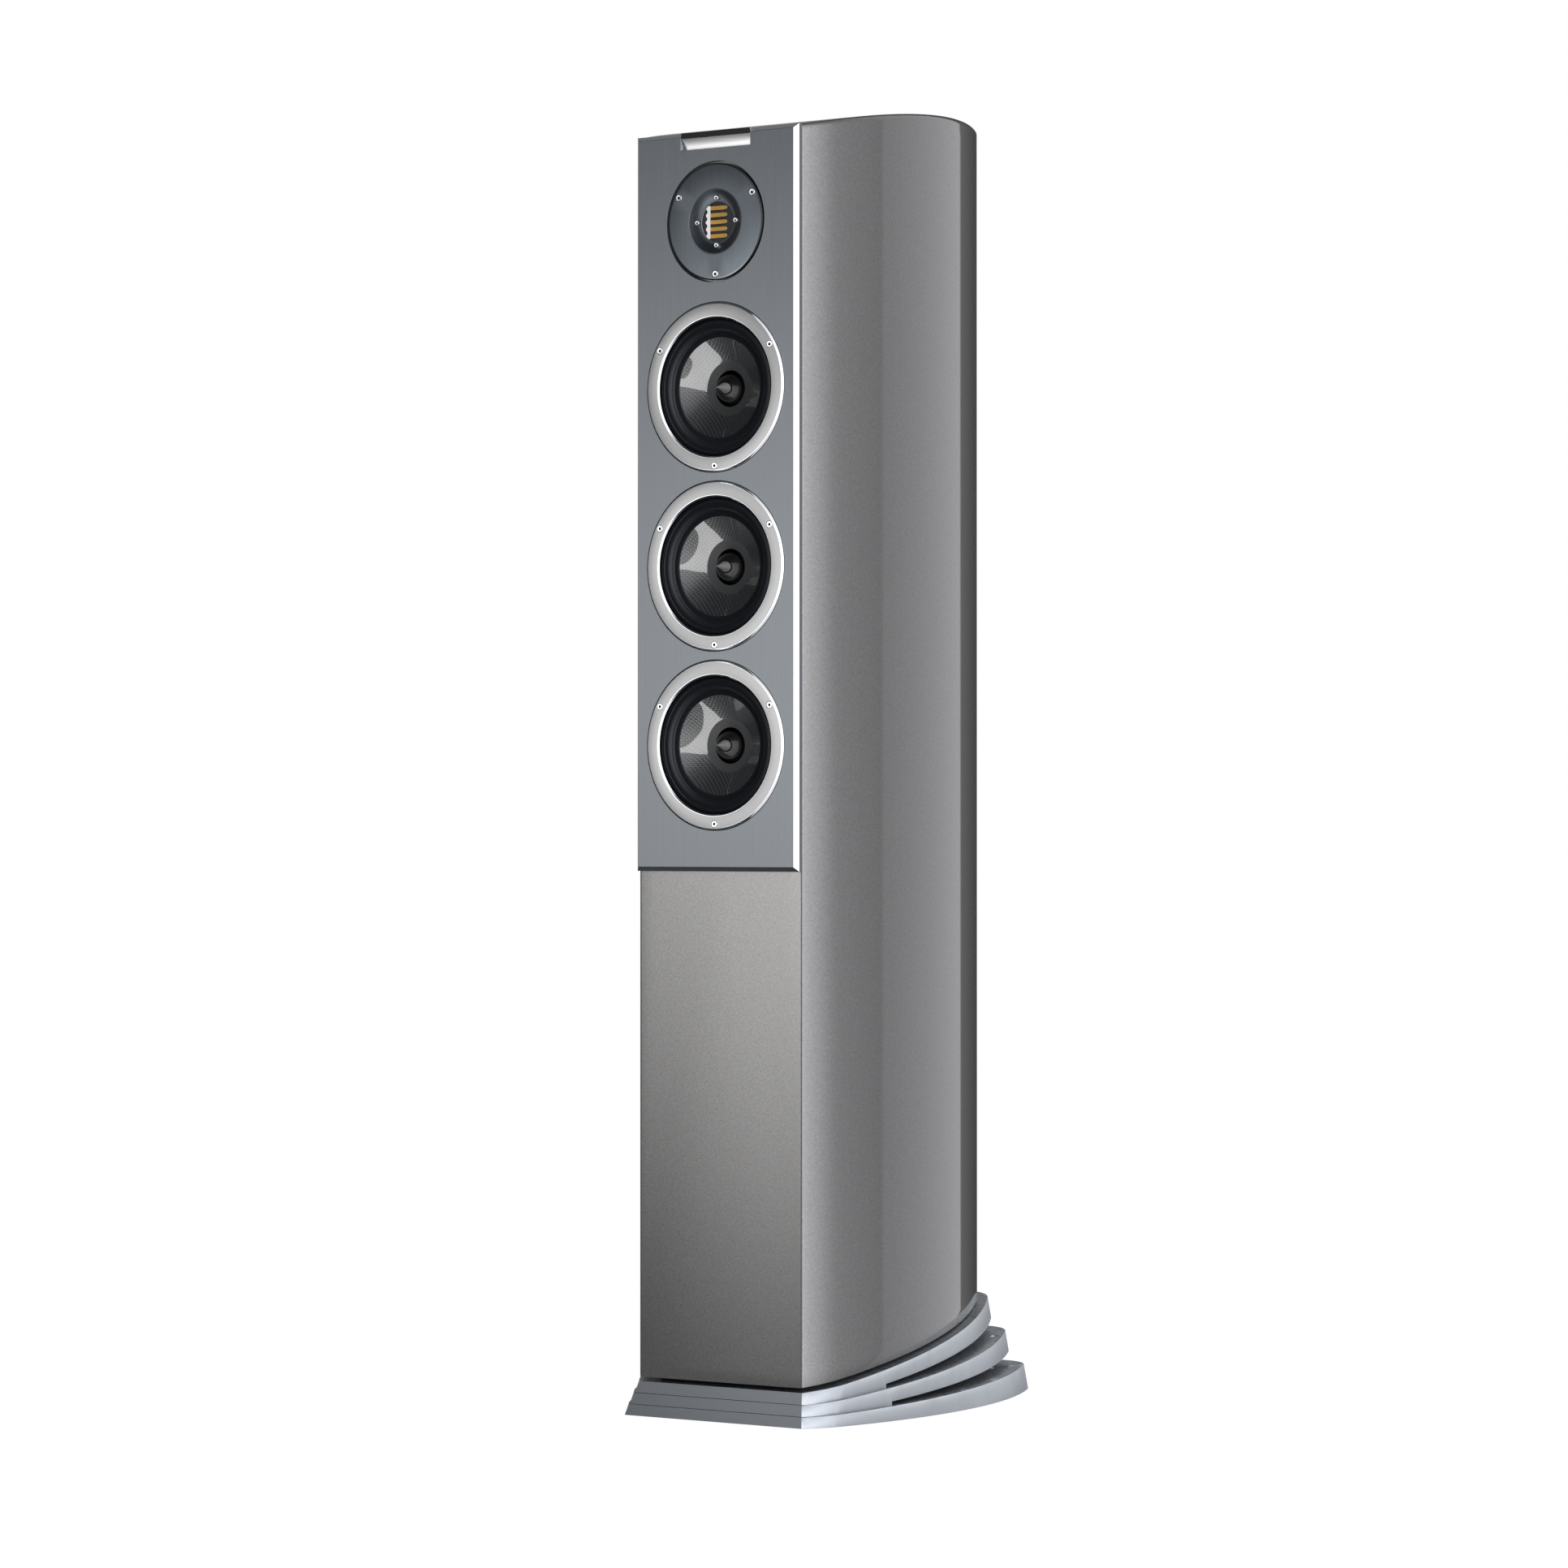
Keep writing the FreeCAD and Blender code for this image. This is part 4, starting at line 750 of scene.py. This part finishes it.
def badge():
    """A brushed scoop under a dark band, let into the top edge of the fascia."""
    low = TOP_FRONT_Z - NOTCH_HIGH + 0.3
    half = 38.0
    front = span("badge_plate")[0].y
    band = TOP_FRONT_Z - 5.2
    profile = [(FRONT_Y, low), (front + 4.6, low)]
    for step in range(1, 10):
        share = step / 9
        profile.append((front + 4.6 - 4.0 * share ** 1.5, low + (band - low) * share))
    profile += [(front, band + 0.3), (front, TOP_FRONT_Z - 0.5), (front + 0.5, TOP_FRONT_Z),
                (FRONT_Y, TOP_FRONT_Z)]
    marks = [0] * (len(profile) - 4) + [1, 1, 0, 0]
    build = Build()
    loops = [build.loop([(x, y, z) for y, z in profile]) for x in (-half, half)]
    count = len(profile)
    for i in range(count):
        j = (i + 1) % count
        build.face([loops[0][i], loops[0][j], loops[1][j], loops[1][i]], marks[i])
    build.fill(loops[0])
    build.fill(loops[1])
    build.piece("badge", CABINET, ["badge", "badge_dark"], soft=0.15, slot="brushed_plate",
                replaces=["badge_plate"], sharp=25)


# ---------------------------------------------------------------- screws

CAP_SCREW = {"radius": 3.2, "depth": 8.0, "hexagon": 1.5, "recess": 1.3}
DISH_SCREW = {"radius": 2.3, "depth": 5.0, "hexagon": 1.0, "recess": 0.8}


def hex_screw(build, x, z, front, radius, depth, hexagon, recess, count=28):
    """A domed cap screw whose six-sided socket is sunk into its head, the socket coloured dark as
    painted shade.
    """
    rim = rounded([(radius, front + depth), (radius, front + 0.35), (radius - 0.5, front)],
                  0.3, 3, False)
    loops = build.rings(rim, count, x, z)
    build.chain(loops)
    lip = build.loop(ring_points(hexagon, front + 0.05, 6, x, z, 0.3))
    floor = build.loop(ring_points(hexagon, front + recess, 6, x, z, 0.3))
    build.fill(loops[-1], [lip])
    # The socket's walls and floor take the dark look: painted shade in the recess.
    build.bridge(lip, floor, 1)
    build.fill(floor, mark=1)
    build.fill(loops[0])


def screw_places(centre, reach, angles):
    return [(reach * cos(radians(a)), centre.z + reach * sin(radians(a))) for a in angles]


SCREW_ANGLES = (-90, 30, 150)
WOOFER_SCREW_CIRCLE = 69.6
TWEETER_SCREW_CIRCLE = 46.5
DISH_SCREW_CIRCLE = 21.0
WELL_RADIUS = 3.35
WELL_DEEP = 2.2


def screw_wells(build, reach, face, wall_mark):
    """Three wells for the screws, floored in black as painted shade round each screw head; returns
    their mouths.
    """
    mouths = []
    for angle in SCREW_ANGLES:
        x, z = reach * cos(radians(angle)), reach * sin(radians(angle))
        mouth, seat = build.rings([(WELL_RADIUS, face), (WELL_RADIUS, face + WELL_DEEP)], 24,
                                  x, z)
        build.bridge(mouth, seat, wall_mark)
        # The black floor is painted shade: it shows as a dark ring round each screw head.
        build.fill(seat, mark=2)
        mouths.append(mouth)
    return mouths


def woofer_screws():
    build = Build()
    for place in WOOFER_PLACES.values():
        for x, z in screw_places(place, WOOFER_SCREW_CIRCLE, SCREW_ANGLES):
            hex_screw(build, x, z, FACE_Y - 1.35, **CAP_SCREW)
    build.piece("woofer_cap_screws", CABINET, ["chrome", "socket"], slot="steel_fastener",
                replaces=["woofer_screws"])


def tweeter_screws():
    build = Build()
    for x, z in screw_places(TWEETER_PLACE, TWEETER_SCREW_CIRCLE, SCREW_ANGLES):
        hex_screw(build, x, z, FACE_Y - 0.1, **CAP_SCREW)
    for x, z in screw_places(TWEETER_PLACE, DISH_SCREW_CIRCLE, (0, 90, 180, 270)):
        hex_screw(build, x, z, FACE_Y + 1.2, **DISH_SCREW)
    build.piece("tweeter_cap_screws", CABINET, ["chrome", "socket"], slot="steel_fastener",
                replaces=["tweeter_screws"])


# ---------------------------------------------------------------- woofers

def trim_ring(number, place):
    """Spun face, polished outer bevel and inner lip, with three wells for the screws."""
    build = Build()
    count = 144
    outer, inner, face, depth = 75.3, 61.4, -1.5, 3.5
    outside = build.rings([(inner, depth), (outer, depth), (outer, face + 2.3),
                           (outer - 0.5, face + 1.4), (outer - 1.7, face + 0.05),
                           (outer - 1.95, face)], count)
    bore = build.rings([(inner + 1.5, face), (inner + 1.2, face + 0.05), (inner, face + 1.2)],
                       count)
    build.chain(outside, 1)
    build.chain([*bore, outside[0]], 1)
    wells = screw_wells(build, WOOFER_SCREW_CIRCLE, face, 1)
    build.fill(outside[-1], [bore[0], *wells])
    # The black look here is the painted shade on the floors of the screw wells.
    build.piece(f"woofer_{number}_ring", CABINET, ["spun", "polished", "black"], place,
                sharp=20, slot="machined_ring",
                replaces=[f"woofer_{number}_trim_ring"])


def bent(piece):
    """Bakes the piece's placement into its mesh."""
    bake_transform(piece)


def surround(number, place):
    """Half roll of rubber between the basket flange and the cone's edge."""
    middle_radius, roll, base, thick = 55.2, 5.2, 6.2, 0.8
    over = [(middle_radius + roll * cos(radians(a)), base - roll * sin(radians(a)))
            for a in range(8, 173, 9)]
    inner = roll - thick
    under = [(middle_radius + inner * cos(radians(a)), base - inner * sin(radians(a)))
             for a in range(176, 3, -12)]
    top = [(66.6, 4.6), (66.6, 3.65), (61.5, 3.65), (60.9, 4.4), *over, (49.4, base - 0.25),
           (48.5, base), (45.2, base), (44.4, base + 0.4)]
    below = [(44.3, base + 0.75), (50.4, base + 0.75), *under, (60.2, 4.9), (61.2, 4.7)]
    made = lathe(f"woofer_{number}_roll_surround", None, ["rubber"], top + below, place,
                 count=128, sharp=50, slot="surround_rubber",
                 replaces=[f"woofer_{number}_surround"])
    bent(made)


def cone(number, place):
    """Woven cone with a flat glued rim under the surround and a matt collar at its neck."""
    steps = 10
    wide, narrow, edge_y, deep, belly, thick = 44.3, 24.3, 7.0, 14.0, 0.5, 1.4
    slope = [(wide + (narrow - wide) * s / steps,
              edge_y + deep * s / steps + belly * sin(pi * s / steps)) for s in range(steps + 1)]
    back = [(r, y + thick) for r, y in reversed(slope)]
    front = [(49.9, edge_y), *slope, (23.7, 21.25), (17.0, 22.1), (16.2, 22.4)]
    rear = [(16.2, 23.6), (24.0, 22.7), *back[1:], (49.9, 8.2)]
    marks = [0] * (steps + 1) + [1, 1, 1] + [1, 1] + [0] * (steps + 2)
    lathe(f"woofer_{number}_woven_cone", f"woofer_{number}_cone_assembly", ["fibre", "collar"],
          front + rear, place, marks, count=128, sharp=28, slot="woven_cone",
          replaces=[f"woofer_{number}_cone"])


def phase_plug(number, place):
    """Pointed bullet standing in the middle of the cone."""
    radius, tip, base, stem, end = 14.4, 2.0, 30.0, 9.0, 64.0
    nose = [(0.0, tip), (0.35, tip + 0.15)]
    steps = 20
    for step in range(1, steps + 1):
        share = step / steps
        nose.append((radius * (1 - (1 - share) ** 2), tip + (base - tip) * share))
    profile = [*nose, (radius, base + 7), (radius - 1, base + 8.5), (stem, base + 10),
               (stem, end), (0.0, end)]
    lathe(f"woofer_{number}_bullet", CABINET, ["plug"], profile, place, closed=False, count=72,
          sharp=40, slot="gloss_plug", replaces=[f"woofer_{number}_phase_plug"])


def spider(number, place):
    """Corrugated cloth that centres the voice coil."""
    low, high = span(f"woofer_{number}_spider")
    depth = (low.y + high.y) / 2 - FACE_Y
    front, back = [], []
    steps, waves, swing, half_thick = 48, 6, 1.3, 0.25
    inner, outer = 20.2, 55.8
    for i in range(steps + 1):
        share = i / steps
        radius = inner + (outer - inner) * share
        wave = swing * sin(share * waves * 2 * pi) * sin(share * pi) ** 0.3
        front.append((radius, depth + wave - half_thick))
        back.append((radius, depth + wave + half_thick))
    made = lathe(f"woofer_{number}_cloth_spider", None, ["cloth"], front + back[::-1], place,
                 count=72, sharp=60, slot="spider_cloth", replaces=[f"woofer_{number}_spider"])
    bent(made)


# ---------------------------------------------------------------- tweeter

def tweeter():
    """Round faceplate, the conical dish in its middle, and what is seen through the dish."""
    place = TWEETER_PLACE
    build = Build()
    count = 144
    hole, disc, deep = 28.9, 51.8, 7.5
    loops = build.rings([(hole, deep), (disc, deep), (disc, 1.3), (disc - 0.4, 0.6),
                         (disc - 1.4, 0.05), (disc - 1.6, 0.0)], count)
    build.bridge(loops[0], loops[1])
    build.chain(loops[1:], 1)
    crest, seat = build.rings([(hole + 0.3, 0.0), (hole, 0.3)], count)
    build.chain([crest, seat, loops[0]])
    wells = screw_wells(build, TWEETER_SCREW_CIRCLE, 0.0, 0)
    build.fill(loops[-1], [crest, *wells])
    # The black look here is the painted shade on the floors of the screw wells.
    build.piece("tweeter_disc", CABINET, ["tweeter_slate", "light_rim", "black"], place,
                sharp=20, slot="tweeter_slate", replaces=["tweeter_faceplate"])

    steps = 12
    mouth, throat, rim_y, sink = 28.2, 17.9, 0.25, 3.7
    bowl = [(mouth + (throat - mouth) * s / steps, rim_y + sink * sin(s / steps * pi / 2))
            for s in range(steps + 1)]
    build = Build()
    profile = [(17.65, deep), (28.8, deep), (28.8, rim_y), *bowl, (17.65, 4.2)]
    loops = build.rings(profile, 96)
    build.chain(loops[:-1])
    build.chain([*loops[-2:], loops[0]], 1)
    build.piece("tweeter_dish", CABINET, ["dish", "light_rim"], place, sharp=28,
                slot="tweeter_slate", replaces=["tweeter_dish_ring"])
    aperture(place)


def pill(half, high, y, z, ends=7):
    """The outline of a bar with round ends, seen from the front."""
    reach = half - high
    return [(side * reach + high * cos(a), y, z + high * sin(a))
            for side, start in ((1, -pi / 2), (-1, pi / 2))
            for a in np.linspace(start, start + pi, ends)]


SLOT_PITCH = 6.2
ROWS = (-2, -1, 0, 1, 2)


def aperture(place):
    """Black pole plate with five openings, and the gold folds of the ribbon in them."""
    build = Build()
    deep, thick, half, high = 4.6, 1.6, 9.9, 2.35
    front, back = build.rings([(17.5, deep), (17.5, deep + thick)], 96)
    build.bridge(front, back)
    slots = [lambda y, z=SLOT_PITCH * row: pill(half, high, y, z) for row in ROWS]
    build.openings(slots, [(front, deep), (back, deep + thick)])
    build.piece("tweeter_pole_plate", CABINET, ["black"], place, soft=0.12, slot="grid_metal",
                replaces=["tweeter_grid"])

    build = Build()
    for row in ROWS:
        layers = ((9.8, 2.25, 8.9), (9.8, 2.25, 5.15), (9.35, 1.8, 4.75))
        loops = [build.loop(pill(*layer, SLOT_PITCH * row)) for layer in layers]
        build.chain(loops, 1)
        build.fill(loops[0])
        build.fill(loops[2])
    film = 15.6
    sheet = [build.loop([(-film, y, -film), (film, y, -film), (film, y, film), (-film, y, film)])
             for y in (9.0, 7.6)]
    build.bridge(*sheet)
    build.fill(sheet[0])
    build.fill(sheet[1])
    build.piece("tweeter_gold_folds", CABINET, ["gold", "light_rim"], place, slot="gold_ribbon",
                replaces=["tweeter_ribbon"], sharp=30)

    build = Build()
    reach, straight_x, steps = 14.6, -8.6, 40
    outline = [(straight_x, -reach), (straight_x, reach)]
    for step in range(steps + 1):
        z = reach - 2 * reach * step / steps
        outline.append((-12.6 - 0.9 * cos(2 * pi * z / SLOT_PITCH) + 0.05 * abs(z), z))
    loops = [build.loop([(x, y, z) for x, z in outline]) for y in (4.62, 4.1)]
    build.bridge(*loops)
    build.fill(loops[0])
    build.fill(loops[1])
    build.piece("tweeter_edge_strip", CABINET, ["white"], place, slot="gold_ribbon")


# ---------------------------------------------------------------- rear

def port():
    """Flared mouth and tube of the reflex port."""
    profile = rounded([(20.5, -147.0), (22.7, -147.0), (22.7, 0.0), (27.0, 0.0), (27.0, 1.8),
                       (25.6, 3.0), (23.5, 3.0), (21.0, 0.2), (20.5, -6.0)], 1.2, 4)
    lathe("port_flare", CABINET, ["plastic"], profile, PORT_PLACE, count=96, sharp=35,
          slot="black_trim", replaces=["port_tube"])


def terminal_caps():
    """Fluted screw caps with a bright washer under each."""
    for name in ("positive", "negative"):
        low, high = span(f"terminal_cap_{name}")
        centre = Vector((0, low.y, middle(f"terminal_washer_{name}").z))
        long = high.y - low.y
        build = Build()
        count = 160

        def rim(radius, y, depth):
            points = []
            for i in range(count):
                angle = 2 * pi * i / count
                flute = max(0.0, cos(8 * angle)) ** 6
                reach = radius - depth * flute
                points.append((reach * cos(angle), y, reach * sin(angle)))
            return build.loop(points)

        levels = [rim(7.0, 0, 0.4), rim(7.8, 0.8, 0.85), rim(7.8, long - 1.5, 0.85),
                  rim(7.3, long - 0.6, 0.6), rim(6.3, long, 0.1)]
        bore = build.rings([(3.97, long), (3.97, 0)], count)
        build.chain([*levels, bore[0]])
        build.chain(bore, 1)
        build.bridge(bore[1], levels[0])
        build.piece(f"fluted_cap_{name}", f"terminal_{name}_cap", ["cap", "brass"], centre,
                    sharp=35, slot="terminal_cap", replaces=[f"terminal_cap_{name}"])


# ---------------------------------------------------------------- carried-over CAD nodes

def carry(node, look, soft=0.0):
    """Keeps a CAD node's shape, gives it a finish and, where asked, softer edges."""
    piece = frame["nodes"][node]
    piece.data.materials.clear()
    piece.data.materials.append(LOOKS[look])
    weld = piece.modifiers.new("Weld", "WELD")
    weld.merge_threshold = SAME_POINT
    if soft:
        soften(piece, soft)


PLINTH_PLATES = [f"plinth_{label}_plate" for label in ("bottom", "middle", "top")]


def carried_nodes():
    for plate in PLINTH_PLATES:
        carry(plate, "silver", 0.4)
    carry("plinth_spacer", "black")
    carry("plinth_bolts", "magnet", 0.3)
    for end in ("front_left", "front_right", "rear_left", "rear_right"):
        carry(f"foot_{end}", "foot", 0.3)
    for number in WOOFERS:
        carry(f"woofer_{number}_basket", "cast")
        carry(f"woofer_{number}_motor", "magnet")
        carry(f"woofer_{number}_voice_coil", "copper")
    carry("cabinet_braces", "board")
    carry("tweeter_magnet", "magnet")
    carry("tweeter_rear_chamber", "plastic")
    carry("crossover_board", "circuit")
    carry("terminal_plate", "plastic", 0.5)
    carry("terminal_posts", "brass", 0.2)
    carry("terminal_screws", "chrome", 0.15)
    for name in ("positive", "negative"):
        carry(f"terminal_washer_{name}", "brass", 0.25)


# ---------------------------------------------------------------- studio

def hide_from(made, *rays):
    for ray in rays:
        setattr(made, "visible_" + ray, False)


def floor():
    """A wide pale floor that glows like the backdrop, so that their border is unseen."""
    build = Build()
    reach, thick = 40000, 20
    top = build.loop([(-reach, -reach, 0), (reach, -reach, 0), (reach, reach, 0),
                      (-reach, reach, 0)])
    low = build.loop([(x, y, -thick) for x, y, _ in build.points[:4]])
    build.bridge(top, low)
    build.fill(top)
    build.fill(low)
    look = Look("studio_floor", Roughness=0.9, Specular_IOR_Level=0.1, Emission_Strength=0.995)
    cloud = look.noise(400, 2.0)
    look.use("Base Color", look.mix(cloud, grey(48), grey(54)))
    look.use("Emission Color", (1, 1, 1, 1))
    LOOKS["floor"] = look.material
    made = build.piece("studio_floor", None, ["floor"])
    hide_from(made, "glossy", "diffuse", "shadow")


def world():
    """A white backdrop; what lights the speaker is a ring of soft panels round it."""
    sky = bpy.data.worlds.new("studio")
    bpy.context.scene.world = sky
    sky.use_nodes = True
    sky.node_tree.nodes.clear()
    tree = Nodes(sky.node_tree)

    def ramp(value, low, high, stops):
        """Brightness by a value, from (value, brightness) pairs, a touch bluer than grey."""
        made = tree.node("ValToRGB")
        tree.feed(made.inputs[0], tree.spread(value, 0.0, 1.0, low, high))
        for number, (place, level) in enumerate(stops):
            share = (place - low) / (high - low)
            elements = made.color_ramp.elements
            stop = elements[number] if number < 2 else elements.new(share)
            stop.position = share
            stop.color = (level, level, level * 1.02, 1)
        return made.outputs[0]

    def background(colour):
        made = tree.node("Background")
        tree.feed(made.inputs["Color"], colour)
        return made.outputs[0]

    direction = tree.parts(tree.node("TexCoord").outputs["Generated"])
    angle = tree.maths("ARCTAN2", direction["Y"], direction["X"])
    ring = ramp(angle, -pi, pi, [(radians(degrees), level) for degrees, level in PANELS])
    height = ramp(direction["Z"], -1.0, 1.0, HEIGHTS)
    choice = tree.node("MixShader")
    seen = tree.node("LightPath").outputs["Is Camera Ray"]
    panels = background(tree.mix(1.0, ring, height, "MULTIPLY"))
    for socket, value in zip(choice.inputs, (seen, panels, background((1, 1, 1, 1)))):
        tree.feed(socket, value)
    tree.feed(tree.node("OutputWorld").inputs[0], choice.outputs[0])


# Direction seen from the speaker, in degrees from +X towards the rear, and its brightness.
PANELS = (
    (-180, 0.10),
    (-110, 0.10),
    (-66, 0.30),
    (-52, 2.2),
    (-20, 2.2),
    (12, 1.2),
    (30, 0.70),
    (44, 0.64),
    (56.7, 0.20),
    (57.3, 0.58),
    (94.7, 0.82),
    (95.3, 0.0),
    (112, 0.02),
    (134, 0.40),
    (164, 0.40),
    (180, 0.10),
)
# The same light's share by the sine of its height above the horizon.
HEIGHTS = (
    (-1.0, 0.35),
    (-0.6, 0.6),
    (-0.15, 0.95),
    (0.0, 1.0),
    (0.5, 0.95),
    (0.8, 0.6),
    (1.0, 0.4),
)


def aim(made, place, target):
    """Puts a lamp or card at place, facing target, unseen by the camera."""
    made.location = place
    made.rotation_euler = (Vector(place) - Vector(target)).to_track_quat("Z", "Y").to_euler()
    hide_from(made, "camera")


def group(name, pieces):
    made = bpy.data.collections.new(name)
    for piece in pieces:
        made.objects.link(piece)
    return made


def soft_light(name, place, target, width, height, power, only):
    lamp = bpy.data.lights.new(name, "AREA")
    lamp.shape = "RECTANGLE"
    lamp.size, lamp.size_y = width, height
    lamp.energy = power
    made = bpy.data.objects.new(name, lamp)
    bpy.context.scene.collection.objects.link(made)
    aim(made, place, target)
    made.light_linking.receiver_collection = group(name + "_lit", only)
    return made


def fading_card(name, place, target, half_wide, half_high, level):
    """A glowing panel, unseen by the camera, that fades from its middle to its edges."""
    look = Look(name, Base_Color=(0, 0, 0, 1), Emission_Color=(1, 1, 1, 1))
    wide = look.maths("POWER", look.maths("DIVIDE", look.axis("X"), half_wide), 2.0)
    high = look.maths("POWER", look.maths("DIVIDE", look.axis("Y"), half_high), 2.0)
    inside = look.maths("MAXIMUM", look.maths("SUBTRACT", 1.0, look.maths("ADD", wide, high)), 0.0)
    look.use("Emission Strength", look.maths("MULTIPLY", look.maths("POWER", inside, 2.0), level))
    LOOKS[name] = look.material
    build = Build()
    x, y = half_wide / MM, half_high / MM
    build.face(build.loop([(-x, -y, 0), (x, -y, 0), (x, y, 0), (-x, y, 0)]))
    card = build.piece(name, None, [name])
    aim(card, place, target)
    hide_from(card, "shadow")
    return card


def named(*endings):
    return [o for o in bpy.data.objects if o.name.endswith(endings)]


def lights():
    """The front card, and lamps that reach only the base plates, the cones and the badge."""
    front = fading_card("front_card", (-0.57, -1.42, 0.68), (0, -0.2, 0.68),
                        half_wide=0.8, half_high=0.95, level=3.2)
    plates = named(*PLINTH_PLATES)
    unlit = group("front_card_unlit", plates + named("_woven_cone", "_roll_surround"))
    for member in unlit.collection_objects:
        member.light_linking.link_state = "EXCLUDE"
    front.light_linking.receiver_collection = unlit
    soft_light("plinth_card", (0.5, 1.6, 1.15), (0.1, 0.1, 0.05),
               width=3.2, height=1.2, power=16, only=plates)
    soft_light("plinth_front_card", (-0.17, -0.56, 0.44), (0.08, -0.21, 0.02),
               width=0.4, height=0.4, power=0.3, only=plates)

    # This card's long side spans the two directions in which the cones should mirror it.
    centre = Vector((0, FACE_Y, WOOFER_PLACES[2].z)) * MM
    one, two = Vector((-0.29, -0.49, -0.82)), Vector((0.51, -0.84, 0.19))
    towards, distance = (one + two).normalized(), 1.3
    card = soft_light("low_front_card", centre + towards * distance, centre,
                      width=2.2, height=0.65, power=38,
                      only=named("_woven_cone", "_bullet", "badge"))
    across = towards.cross(two - one).normalized()
    along = across.cross(towards).normalized()
    card.rotation_euler = Matrix((along, across, towards)).transposed().to_euler()


LENS = 124.8
CAMERA_PLACE = (2.8694, -4.0513, 0.525)
CAMERA_TURN = radians(36)
CAMERA_PITCH = radians(0.479)


def camera():
    lens = bpy.data.cameras.new("camera")
    lens.lens = LENS
    lens.sensor_width = 36
    lens.clip_end = 100
    made = bpy.data.objects.new("camera", lens)
    bpy.context.scene.collection.objects.link(made)
    made.location = CAMERA_PLACE
    level = cos(CAMERA_PITCH)
    forward = Vector((-sin(CAMERA_TURN) * level, cos(CAMERA_TURN) * level, sin(CAMERA_PITCH)))
    made.rotation_euler = forward.to_track_quat("-Z", "Y").to_euler()
    bpy.context.scene.camera = made


# ---------------------------------------------------------------- everything

cabinet_shell()
fascia()
badge()
woofer_screws()
tweeter_screws()
for number, place in WOOFER_PLACES.items():
    trim_ring(number, place)
    surround(number, place)
    cone(number, place)
    phase_plug(number, place)
    spider(number, place)
tweeter()
port()
terminal_caps()
carried_nodes()
floor()
world()
lights()
camera()
bpy.context.scene.view_settings.view_transform = "Standard"
